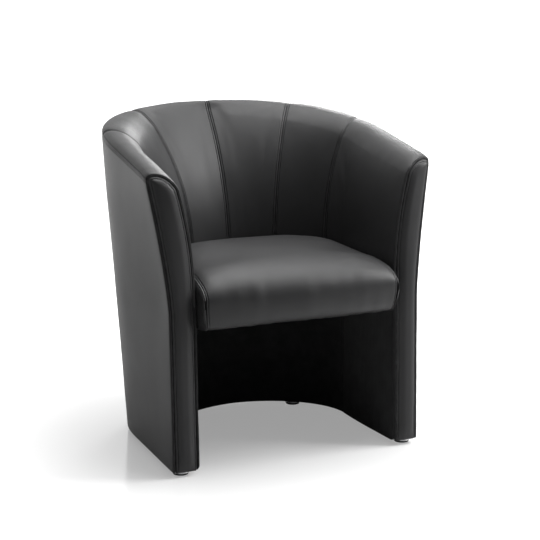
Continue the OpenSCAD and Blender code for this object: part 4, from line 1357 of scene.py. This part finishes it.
@dataclass
class ArmFronts:
    """The two facings that close the arm fronts, over their foam."""

    palette: Palette
    swell: float = 0.0085
    round_out: float = 0.012
    round_in: float = 0.028
    stuffing: Stuffing = Stuffing(0.0015, voxel=0.004, free=0.020)
    corner: float = 0.004
    foam: float = 0.010
    foam_inset: float = 0.0018
    corner_rows: int = 9
    middle: int = 10

    EDGE = ((0, 0), (0.2, 0.22), (0.4, 0.42), (0.6, 0.6), (0.8, 0.74), (0.9, 0.85), (1, 1))

    def edges(self) -> list[tuple[Vector, Vector]]:
        """Pairs of points on the outer and the inner edge, from the hem to the crest, on the right arm."""
        front = Station(0.0, WALL.arm_end)
        pairs = []
        for i in range(self.corner_rows):
            turn = math.radians(i * 90 / (self.corner_rows - 1))
            z = WALL.floor_gap + self.corner * (1 - math.cos(turn))
            draw = self.corner * (1 - math.sin(turn))
            pairs.append((WALL.outer(front, z, draw), WALL.inner(front, z, draw)))
        low = WALL.floor_gap + self.corner
        for i in range(1, 20):
            z = mix(low, WALL.outer_flare, i / 19)
            z_in = mix(low, WALL.panel_bottom, i / 19)
            pairs.append((WALL.outer(front, z), WALL.inner(front, z_in)))
        for i in range(1, 25):
            share = i / 25
            z = mix(WALL.outer_flare, WALL.outer_seam_z(front), share)
            z_in = mix(WALL.panel_bottom, WALL.shoulder_z(front), between(self.EDGE, share))
            pairs.append((WALL.outer(front, z), WALL.inner(front, z_in)))
        for turn in (0, 8, 16, 24, 32, 40, 48, 55, 62, 68, 73, 78, 82, 85, 87.5, 89.4):
            angle = math.radians(turn)
            pairs.append((WALL.crest(front, angle), WALL.crest(front, math.pi - angle)))
        return pairs

    def build_side(self, side: Side) -> None:
        """Make one facing and its stitches."""
        pairs = self.edges()
        outline = [p for p, _ in pairs] + [q for _, q in reversed(pairs)]
        flat = [Vector((p.x, p.z)) for p in outline]
        count = len(graded(0.07, self.middle))

        def rim(x: float, z: float) -> float:
            """Distance of a place from the facing's outline."""
            here, best = Vector((x, z)), 1.0
            for a, b in zip(flat, flat[1:] + flat[:1]):
                line = b - a
                share = clamp((here - a).dot(line) / max(line.length_squared, 1e-12))
                best = min(best, (here - a - line * share).length)
            return best

        def raw(i: int, j: int) -> Vector:
            """Place of a point of the facing, on the right arm."""
            a, b = pairs[j]
            width = (b - a).length
            share = graded(width, self.middle)[i] / width
            return a.lerp(b, share)

        def point(i: int, j: int) -> Vector:
            """Place of a point on this side, bulged out between the edges."""
            p = raw(i, j)
            off = rim(p.x, p.z)
            a, b = pairs[j]
            inward = clamp((p - a).length / max((b - a).length, 1e-6))
            wide = mix(self.round_out, self.round_in, inward)
            bulge = self.swell * math.sin(clamp(off / wide) * math.pi / 2)
            return Vector((side.value * p.x, p.y - bulge, p.z + lift(p, pairs[j][1])))

        def lift(p: Vector, inner: Vector) -> float:
            """Lift of a point by the rounded lower corner beside the lining."""
            return WALL.hem_lift(abs(p.x - inner.x) + WALL.corner + WALL.lip, 0.0, p.z)

        sheet = Sheet(count, len(pairs), point, flip=side is Side.RIGHT)
        distance = {(i, j): rim(*raw(i, j).xz) for i in range(count) for j in range(len(pairs))}

        def depth(i: int, j: int, at: Vector) -> float:
            """Depth of the leather below its face."""
            off = distance[i, j]
            hold = clamp(off / 0.015)
            return SEAM.dip(off, at.z) + unevenness(at, 0.05, 0.0008) * hold

        for vert in sheet.mesh.verts:
            i, j = sheet.key(vert[sheet.tag])
            vert.co.y += depth(i, j, vert.co)
        sheet.mesh.normal_update()
        sheet.mark(lambda i, j: distance[i, j])
        tree = BVHTree.FromBMesh(sheet.mesh)
        outer_row = self.stitch_path(flat, range(self.corner_rows, len(pairs)), side, tree)
        inner_row = self.stitch_path(flat, range(len(pairs), len(flat) - self.corner_rows), side, tree)

        def back(i: int, j: int) -> Vector:
            """Place of a point of the foam's back."""
            a, b = pairs[j]
            inset = min(self.foam_inset, (b - a).length / 3)
            step = (b - a).normalized() * inset
            width = (b - a).length
            p = (a + step).lerp(b - step, graded(width, self.middle)[i] / width)
            return Vector((side.value * p.x, p.y + self.foam, p.z + lift(p, b)))

        sheet.fill_behind(back, 0, 1)
        self.stuffing.swell(sheet, lambda i, j: distance[i, j], f"arm_front_{side.word}")
        piece = sheet.finish(f"arm_front_{side.word}", self.palette.leather, self.palette.foam)
        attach(piece, CHAIR)
        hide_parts(f"front_facing_{side.word}", f"front_wadding_{side.word}")
        LOG.info("%s: %d faces", piece.name, len(piece.data.polygons))
        THREAD.piece(f"arm_front_outer_stitches_{side.word}", [outer_row], self.palette.thread)
        # The inner row is sewn with the pale thread, a painted highlight along the facing's inner edge.
        THREAD.piece(f"arm_front_inner_stitches_{side.word}", [inner_row], self.palette.edge_thread)

    def stitch_path(self, flat: list[Vector], span: range, side: Side, tree: BVHTree
                    ) -> list[tuple[Vector, Vector]]:
        """Path of a row of stitches, inside the facing's outline.

        Args:
            flat: the outline, as places across and up.
            span: the part of the outline that the row follows.
            side: side of the chair.
            tree: the facing's surface.

        Returns:
            Points of the surface with their normals.
        """
        path = []
        count = len(flat)
        for k in span:
            here, ahead, behind = flat[k], flat[(k + 2) % count], flat[k - 2]
            along = ahead - behind
            if along.length < 1e-6:
                continue
            inward = Vector((-along.y, along.x)).normalized()
            spot = here + inward * SEAM.stitch_offset
            start = Vector((side.value * spot.x, -1.0, spot.y))
            hit, normal, _, _ = tree.ray_cast(start, Vector((0, 1, 0)))
            if hit is not None:
                path.append((hit, normal if normal.y < 0 else -normal))
        return path

    def build(self) -> None:
        """Make both facings."""
        for side in Side:
            self.build_side(side)


@dataclass
class SeatPad:
    """The crowned seat with its rolled front and its side panels."""

    palette: Palette
    front: float = 0.270
    corner: float = 0.259
    bottom: float = 0.316
    edge: float = 0.418
    crown: float = 0.027
    crown_back: float = 0.006
    nose: float = 0.3782
    seam_line: float = 0.0084
    side_gap: float = 0.0004
    root: float = 0.0068
    waist: float = -0.212
    roll_start: float = -0.165
    bottom_edge: float = -0.238
    corner_draw: float = 0.007
    roll_power: float = 2.05
    base: float = 0.3622
    frame_front: float = -0.2252
    hem: float = 0.014
    sewn_half: float = 0.21
    middle: int = 34
    tub_end: float = 0.2201
    draw_start: float = -0.225
    draw_length: float = 0.013
    crown_length: float = 0.200
    crown_power: float = 6.5
    fall_ahead: float = 0.004
    fall_length: float = 0.120
    back_round: float = 0.030
    tuck_at: float = 0.985
    tuck_depth: float = 0.030
    foam_share: float = 0.985
    cheek_height: float = 0.098
    cheek_thickness: float = 0.0014
    stuffing: Stuffing = Stuffing(0.0045)

    def half(self, y: float, inset: float) -> float:
        """Half width of the seat at a depth, drawn in by an inset."""
        zone = WALL.front_zone
        if y <= -zone:
            share = clamp((-zone - y) / (self.tub_end - zone))
            near, far = WALL.lining_r(Station(0, zone)), WALL.lining_r(Station(0, WALL.arm_front))
            return mix(near, far, share) - inset
        if y <= 0:
            return WALL.lining_r(Station(0, -y)) - inset
        half, depth, square = WALL.lining_plan
        return (half - inset) * max(0.0, 1 - (y / (depth - inset)) ** square) ** (1 / square)

    def across(self, y: float, z: float, inset: float) -> float:
        """Half width at a depth and a height, where the lower front corners are drawn in."""
        ahead = clamp((self.draw_start - y) / self.draw_length)
        low = clamp((self.nose - z) / (self.nose - self.bottom)) ** 2
        return self.half(max(y, self.waist), inset) - self.corner_draw * ahead * low

    def top_z(self, share: float, y: float) -> float:
        """Height of the seat's top, at a share across from -1 to 1 and a depth."""
        behind = WALL.lining_plan[1] - self.seam_line - y
        full = math.sin(clamp(behind / self.crown_length) * math.pi / 2)
        fall = self.fall_ahead * smooth((behind - self.crown_length) / self.fall_length)
        crown = mix(self.crown_back, self.crown, full) - fall
        back = math.sqrt(clamp(behind / self.back_round))
        return self.edge + crown * (1 - abs(share) ** self.crown_power) * back

    def reach(self, share: float) -> float:
        """Distance of the seat's front ahead of the pole line."""
        return mix(self.front, self.corner, share * share)

    def rows(self) -> list[tuple[str, float]]:
        """Rows of the main panel, from its tucked back edge over the roll to its hem."""
        back = WALL.lining_plan[1] - self.seam_line
        depths = [back * s for s in (self.tuck_at, 0.965, 0.94, 0.90, 0.85, 0.78, 0.69)]
        count = 32
        tops = [mix(back * 0.62, self.roll_start, i / count) for i in range(count + 1)]
        turns = [86, 81, 76, 71, 66, 60, 54, 48, 42, 36, 30, 24, 18, 12, 6, 0]
        lows = [mix(self.nose, self.bottom, i / 12) for i in range(1, 13)]
        return ([("tuck", 0.0)] + [("top", y) for y in depths + tops]
                + [("roll", math.radians(t)) for t in turns] + [("low", z) for z in lows] + [("hem", 0.0)])

    def line_point(self, share: float, row: tuple[str, float]) -> Vector:
        """Point of the main panel at a share across and a row."""
        kind, value = row
        front = self.reach(share)
        if kind == "tuck":
            y = (WALL.lining_plan[1] - self.seam_line) * self.tuck_at
            p = (share * self.half(y, self.seam_line), y + 0.002, self.edge - self.tuck_depth)
        elif kind == "top":
            p = (share * self.half(value, self.seam_line), value, self.top_z(share, value))
        elif kind == "roll":
            top = self.top_z(share, self.roll_start)
            y = mix(self.roll_start, -front, math.cos(value) ** (2 / self.roll_power))
            p = (share * self.across(y, self.edge, self.seam_line), y,
                 mix(self.nose, top, math.sin(value) ** (2 / self.roll_power)))
        elif kind == "low":
            fall = (self.nose - value) / (self.nose - self.bottom)
            out = max(0.0, 1 - fall ** self.roll_power) ** (1 / self.roll_power)
            y = mix(self.bottom_edge, -front, out)
            p = (share * self.across(y, value, self.seam_line), y, value)
        else:
            x = share * self.across(self.bottom_edge, self.bottom, self.seam_line)
            p = (x, self.bottom_edge + self.hem, self.bottom)
        return Vector(p) + Vector((0, WALL.shift, 0))

    def shares(self) -> list[float]:
        """Shares across the main panel, close together at its two seams."""
        places = graded(2 * self.sewn_half, self.middle)
        return [p / self.sewn_half - 1 for p in places]

    def build_top(self) -> None:
        """Make the main panel over its foam, and its stitches."""
        shares, rows = self.shares(), self.rows()
        sheet = Sheet(len(shares), len(rows), lambda i, j: self.line_point(shares[i], rows[j]), flip=True)
        sewn = [j for j, (kind, _) in enumerate(rows) if kind in ("top", "roll")]

        def edge(i: int, j: int) -> float:
            """Distance from the nearest side seam."""
            wide = abs(self.line_point(1.0, rows[j]).x)
            return (1 - abs(shares[i])) * wide

        def depth(i: int, j: int, at: Vector) -> float:
            """Depth of the leather below its face."""
            off = edge(i, j)
            kind = rows[j][0]
            soft = unevenness(at, 0.09, 0.0014) + unevenness(at, 0.035, 0.0006)
            front = smooth((WALL.shift - 0.13 - at.y) / 0.07) if kind != "tuck" else 0.0
            pucker = front * 0.0015 * noise.noise(Vector((at.x / 0.021, at.z / 0.11, 3.1)))
            return SEAM.dip(off, at.y + at.z) + (soft + pucker) * clamp(off / 0.02)

        sheet.sink(depth)
        sheet.mark(edge)
        offset = SEAM.stitch_line()
        lines = [sheet.line([(c, j) for j in sewn]) for c in (offset, len(shares) - 1 - offset)]

        def back(i: int, j: int) -> Vector:
            """Place of a point of the foam's underside."""
            p = self.line_point(shares[i] * self.foam_share, rows[j])
            limit = self.frame_front + WALL.shift
            if rows[j][0] in ("tuck", "top"):
                return Vector((p.x, max(p.y, limit + 0.004), self.base))
            if rows[j][0] == "roll":
                return Vector((p.x, limit + 0.004 * math.sin(rows[j][1]), mix(self.base, p.z, 0.02)))
            return Vector((p.x, limit, min(self.base - 0.0004, max(p.z, self.bottom + 0.0014))))

        def held(i: int, j: int) -> float:
            """Distance from a seam, the back edge or the hem."""
            kind, value = rows[j]
            ends = {"tuck": 0.0, "hem": 0.0, "low": value - self.bottom,
                    "top": WALL.lining_plan[1] - self.seam_line - value}
            return min(edge(i, j), ends.get(kind, 1.0))

        sheet.fill_behind(back, 0, 1)
        self.stuffing.swell(sheet, held, "seat_top")
        piece = sheet.finish("seat_top", self.palette.leather, self.palette.foam)
        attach(piece, CHAIR)
        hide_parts("seat_cover", "seat_foam", "seat_front_foam")
        LOG.info("seat_top: %d faces", len(piece.data.polygons))
        THREAD.piece("seat_top_stitches", lines, self.palette.thread)

    def cheek_places(self) -> list[tuple[str, float]]:
        """Columns of a side panel, from its point at the nose to the tub."""
        turns = [12, 17, 23, 30, 37, 44, 51, 58, 64, 70, 76, 81, 86]
        ys = [mix(self.roll_start, 0.0, i / 20) for i in range(21)]
        return [("front", math.radians(t)) for t in turns] + [("side", y) for y in ys]

    def cheek_point(self, column: tuple[str, float], level: float) -> Vector:
        """Point of the right side panel at a column and a level from 0, its bottom, to 1, its top."""
        kind, value = column
        if kind == "front":
            out = math.cos(value) ** (2 / self.roll_power)
            up = math.sin(value) ** (2 / self.roll_power)
            top = (mix(self.roll_start, -self.corner, out), mix(self.nose, self.edge, up))
            low = (mix(self.bottom_edge, -self.corner, out), mix(self.nose, self.bottom, up))
            shape = between(((0, 0), (0.15, 0.8), (0.5, 1), (0.85, 0.8), (1, 0)), level)
            bulge = shape * math.sqrt(math.sin(value))
        else:
            foot = mix(self.waist, 0.0, (value - self.roll_start) / -self.roll_start)
            top, low = (value, self.edge), (foot, self.bottom)
            bulge = between(((0, 1), (0.5, 1), (0.85, 0.7), (1, 0)), level)
        y, z = mix(low[0], top[0], level), mix(low[1], top[1], level)
        x = self.across(y, z, 0) - mix(self.root, self.side_gap, bulge)
        return Vector((x, y + WALL.shift, z))

    def build_cheek(self, side: Side) -> None:
        """Make the side panel of one side, and its stitches."""
        columns = self.cheek_places()
        fine = [1 - f / self.cheek_height for f in SEAM.offsets()]
        levels = [i / 14 * fine[-1] for i in range(14)] + fine[::-1]

        def point(i: int, j: int) -> Vector:
            """Place of a point on this side."""
            p = self.cheek_point(columns[i], levels[j])
            return Vector((side.value * p.x, p.y, p.z))

        sheet = Sheet(len(columns), len(levels), point, flip=side is Side.LEFT)

        def edge(i: int, j: int) -> float:
            """Distance from the top seam."""
            return (self.cheek_point(columns[i], 1) - self.cheek_point(columns[i], levels[j])).length

        def depth(i: int, j: int, at: Vector) -> float:
            """Depth of the leather below its face."""
            return SEAM.dip(edge(i, j), at.y) + unevenness(at, 0.04, 0.0006) * clamp(edge(i, j) / 0.02)

        sheet.sink(depth)
        sheet.mark(edge)
        offset = SEAM.stitch_line()
        level = len(levels) - 1 - offset
        path = sheet.line([(i, level) for i in range(2, len(columns))])
        sheet.thicken(self.cheek_thickness)
        piece = sheet.finish(f"seat_side_{side.word}", self.palette.leather)
        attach(piece, CHAIR)
        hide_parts(f"seat_cheek_{side.word}")
        THREAD.piece(f"seat_side_stitches_{side.word}", [path], self.palette.thread)

    def build(self) -> None:
        """Make the whole seat."""
        self.build_top()
        for side in Side:
            self.build_cheek(side)


@dataclass
class InnerTub:
    """The lining below the seat, the dust covers and the other cloth."""

    palette: Palette
    hem: float = 0.014
    thickness: float = 0.0014
    top: float = 0.365
    radius: float = 0.20
    middle: int = 120

    def build_lining(self) -> None:
        """Make the lining, with its two upright seams."""
        radius, gap = self.radius, WALL.floor_gap
        rows = [(gap, self.hem), (gap, 0.004), (gap + 0.0004, 0.0018), (gap + 0.002, 0.0003)]
        rows += [(mix(gap + 0.005, self.top, i / 24), 0.0) for i in range(25)]
        ends = graded(WALL.arm_end, 8)
        round_back = graded(math.pi * radius, self.middle)
        lengths = ([e - WALL.arm_end for e in ends] + round_back[1:]
                   + [math.pi * radius + e for e in ends[1:]])

        def point(i: int, j: int) -> Vector:
            """Place of a point of the lining."""
            z, tuck = rows[j]
            here = WALL.station(lengths[i], radius)
            tuck = WALL.hem_tuck(tuck, self.hem, WALL.arm_end - here.ahead)
            inward, front, angle = WALL.corner_turn(here)
            behind = front + max(0.0, WALL.arm_front - WALL.corner - here.ahead)
            lift = Vector((0, tuck * math.sin(angle), WALL.hem_lift(inward, behind, z)))
            return self.upright(here, z, tuck * math.cos(angle)) + lift

        sheet = Sheet(len(lengths), len(rows), point, flip=True)

        def end(i: int) -> float:
            """Distance from the nearest end, at an arm's front."""
            return min(abs(lengths[i] + WALL.arm_end), abs(lengths[i] - math.pi * radius - WALL.arm_end))

        def seam(i: int) -> float:
            """Distance from the nearest upright seam on the board."""
            return min(abs(lengths[i]), abs(lengths[i] - math.pi * radius))

        def sag(i: int, j: int, at: Vector) -> float:
            """Depth of the cloth below its own face. It lies on the board, so it sinks little."""
            low = clamp((at.z - gap) / 0.02)
            loose = abs(unevenness(at, 0.09, 0.0008)) * low
            return -0.0006 * low + SEAM.dip(seam(i), at.z) * 0.28 + SEAM.dip(end(i), at.z) + loose

        sheet.sink(sag)
        sheet.mark(lambda i, j: min(seam(i), end(i)))
        area = sheet.area()
        sheet.thicken(self.thickness)
        piece = sheet.finish("lining_sheet", self.palette.lining)
        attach(piece, CHAIR)
        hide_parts("lower_lining")
        LOG.info("lining_sheet: %.3f square metres", area)

    def upright(self, at: Station, z: float, depth: float) -> Vector:
        """Point at a depth behind the upright lining."""
        return WALL.place(at, WALL.lining_r(at) + WALL.corner_turn(at)[0] + depth, z, 1.0)

    def build(self) -> None:
        """Make the lining and the cloth that closes the underside."""
        self.build_lining()
        cloths = (("base_dust_cover", (1.20, 0.075), "base_former"),
                  ("seat_dust_cover", (0.457, 0.386), "seat_frame"),
                  ("seat_rear_band", (0.62, 0.080), "seat_frame"))
        for node, cut, rests in cloths:
            CopiedForm.build_cloth(node, self.palette.lining, cut, rests)
        for node in ("seat_webbing_across", "seat_webbing_along"):
            CopiedForm.build(node, self.palette.webbing, "webbing")


@dataclass
class Feet:
    """Four turned glides, each with a pad below it, which wind out of the base."""

    palette: Palette
    radius: float = 0.0185
    cup_top: float = 0.0097
    stem_top: float = 0.0350
    stem_radius: float = 0.004
    facets: int = 48

    def turned(self, profile: Sequence[tuple[float, float]], centre: Vector) -> BMesh:
        """Turn a profile about an upright line.

        Args:
            profile: distances from the line and heights, from the bottom up.
            centre: place of the line.

        Returns:
            The closed turned shape.
        """
        mesh = bmesh.new()
        verts = [mesh.verts.new((centre.x + r, centre.y, z)) for r, z in profile]
        edges = [mesh.edges.new(pair) for pair in zip(verts, verts[1:])]
        bmesh.ops.spin(mesh, geom=verts + edges, cent=centre, axis=(0, 0, 1), dvec=(0, 0, 0),
                       angle=2 * math.pi, steps=self.facets, use_merge=True, use_duplicate=False)
        bmesh.ops.remove_doubles(mesh, verts=mesh.verts[:], dist=1e-6)
        bmesh.ops.recalc_face_normals(mesh, faces=mesh.faces[:])
        return mesh

    def build(self) -> None:
        """Make the four feet and their pads."""
        for body in ("foot_front_left", "foot_front_right", "foot_rear_left", "foot_rear_right"):
            pad_node = body.replace("foot_", "foot_pad_")
            low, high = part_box(pad_node)
            centre = Vector(((low[0] + high[0]) / 2, (low[1] + high[1]) / 2, 0))
            r, top = self.radius, self.cup_top
            cup = [(0, 0.003), (r - 0.0022, 0.003), (r - 0.0009, 0.0034), (r - 0.0002, 0.0042), (r, 0.0051),
                   (r, top - 0.0022), (r - 0.0004, top - 0.0012), (r - 0.0012, top - 0.0004),
                   (r - 0.0025, top), (self.stem_radius + 0.003, top), (self.stem_radius, top + 0.0006),
                   (self.stem_radius, self.stem_top), (0, self.stem_top)]
            foot = to_object(self.turned(cup, centre), body + "_glide", self.palette.chrome, sharp=0.9)
            r = self.radius - 0.002
            sole = [(0, 0), (r - 0.0009, 0), (r - 0.0003, 0.0002), (r, 0.0008), (r, 0.0022),
                    (r - 0.0004, 0.0029), (r - 0.001, 0.003), (0, 0.003)]
            pad = to_object(self.turned(sole, centre), body + "_sole", self.palette.pad, sharp=0.9)
            for piece, node, slot in ((foot, body, "chrome"), (pad, pad_node, "pad")):
                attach(piece, body)
                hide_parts(node)
            LOG.info("%s: turned", body)


@dataclass(frozen=True)
class Lamp:
    """A soft box of the studio."""

    name: str
    place: tuple[float, float, float]
    aim: tuple[float, float, float]
    size: tuple[float, float]
    power: float

    def hang(self) -> None:
        """Put the lamp in the scene."""
        data = bpy.data.lights.new(self.name, "AREA")
        data.shape, data.size, data.size_y = "RECTANGLE", *self.size
        data.energy = self.power
        lamp = bpy.data.objects.new(self.name, data)
        lamp.location = self.place
        lamp.rotation_euler = (Vector(self.aim) - Vector(self.place)).to_track_quat("-Z", "Y").to_euler()
        bpy.context.scene.collection.objects.link(lamp)


@dataclass
class Studio:
    """Camera, lamps, world and floor."""

    eye: tuple[float, float, float] = (-1.24755, -3.00785, 1.10163)
    target: tuple[float, float, float] = (0.0307, -0.0315, 0.3748)
    lens: float = 96.955
    backdrop: tuple[float, float, float] = (0.18, 0.96, 0.20)
    dim: float = 0.05
    ambient: float = 0.13
    floor_half: float = 30.0

    def set_camera(self) -> None:
        """Place the camera at the photograph's viewpoint."""
        data = bpy.data.cameras.new("Camera")
        data.lens, data.sensor_width, data.sensor_fit = self.lens, 36.0, "HORIZONTAL"
        camera = bpy.data.objects.new("Camera", data)
        camera.location = self.eye
        look = Vector(self.target) - Vector(self.eye)
        camera.rotation_euler = look.to_track_quat("-Z", "Y").to_euler()
        bpy.context.scene.collection.objects.link(camera)
        bpy.context.scene.camera = camera

    def set_world(self) -> None:
        """Make the world white where it is seen, and softer where it lights the chair.

        A mirror sees the white backdrop behind the chair, and the dim studio on the camera's side.
        """
        world = bpy.data.worlds.new("Studio")
        bpy.context.scene.world = world
        world.use_nodes = True
        board = NodeBoard(world.node_tree)
        path = board.add("ShaderNodeLightPath")
        mirrored = board.mirrored(path)
        facing = board.add("ShaderNodeVectorMath", operation="DOT_PRODUCT")
        board.feed(facing, i0=board.add("ShaderNodeTexCoord").outputs["Generated"], i1=self.backdrop)
        rise = board.ramp(facing.outputs["Value"], -0.15, 0.85, self.dim, 1.0)
        strength = board.feed(board.add("ShaderNodeMix"), i0=mirrored, i2=self.ambient, i3=rise)
        strength = board.feed(board.add("ShaderNodeMix"), i0=path.outputs["Is Camera Ray"],
                              i2=strength.outputs[0], i3=1.0)
        light = board.feed(board.add("ShaderNodeBackground"), Color=(1, 1, 1, 1),
                           Strength=strength.outputs[0])
        out = board.add("ShaderNodeOutputWorld")
        board.feed(out, Surface=light.outputs[0])

    def lay_floor(self) -> None:
        """Lay the glossy white floor."""
        mesh = bmesh.new()
        bmesh.ops.create_grid(mesh, x_segments=8, y_segments=8, size=self.floor_half)
        floor = to_object(mesh, "floor", self.floor_finish())

    @staticmethod
    def floor_finish() -> bpy.types.Material:
        """Return the floor's white gloss paint, which is seen as plain white away from the chair."""
        material = bpy.data.materials.new("White floor")
        material.use_nodes = True
        board = NodeBoard(material.node_tree)
        shader = board.feed(board.add("ShaderNodeBsdfPrincipled"), Base_Color=(0.80, 0.80, 0.80, 1),
                            Roughness=0.14, IOR=1.9)
        out = board.add("ShaderNodeOutputMaterial")
        path = board.add("ShaderNodeLightPath")
        where = board.add("ShaderNodeTexCoord").outputs["Object"]
        away = board.feed(board.add("ShaderNodeVectorMath", operation="LENGTH"), i0=where)
        rise = board.ramp(away.outputs["Value"], 0.25, 1.2, 0.32, 1.0)
        parts = board.feed(board.add("ShaderNodeSeparateXYZ"), Vector=where)
        behind = board.ramp(parts.outputs["Y"], 0.6, 3.2)
        mirrored = board.mirrored(path)
        seen = board.math("MAXIMUM", path.outputs["Is Camera Ray"],
                          board.math("MULTIPLY", mirrored, behind))
        glow = board.feed(board.add("ShaderNodeEmission"), Color=(1, 1, 1, 1),
                          Strength=board.math("MULTIPLY", rise, seen))
        both = board.add("ShaderNodeAddShader")
        board.feed(both, i0=shader.outputs[0], i1=glow.outputs[0])
        board.feed(out, Surface=both.outputs[0])
        return material

    def build(self) -> None:
        """Set up the whole studio."""
        bpy.context.scene.view_settings.view_transform = "Standard"
        self.set_camera()
        self.set_world()
        self.lay_floor()
        lamps = [
            Lamp("Overhead box", (0.35, 0.15, 2.5), (0, 0, 0.4), (2.0, 1.4), 54),
            Lamp("Right box", (2.1, -0.75, 2.0), (-0.1, 0.1, 0.5), (1.1, 1.3), 68),
            Lamp("Low right card", (2.0, -1.5, 0.7), (0.3, -0.3, 0.4), (0.7, 1.1), 4),
            Lamp("Rear right strip", (1.4, 2.1, 1.5), (-0.2, 0.0, 0.6), (0.8, 0.6), 14),
        ]
        for lamp in lamps:
            lamp.hang()
        LOG.info("studio: %d lamps", len(lamps))


def main() -> None:
    """Build the chair piece by piece, and report each one."""
    logging.basicConfig(level=logging.INFO, format="%(message)s")
    Studio().build()
    palette = Palette.mixed()
    palette.dress_frame()
    for part in (OuterWrap(palette), InsidePanels(palette), ArmFronts(palette), InnerTub(palette),
                 SeatPad(palette), Feet(palette)):
        part.build()


if __name__ == "__main__":
    main()
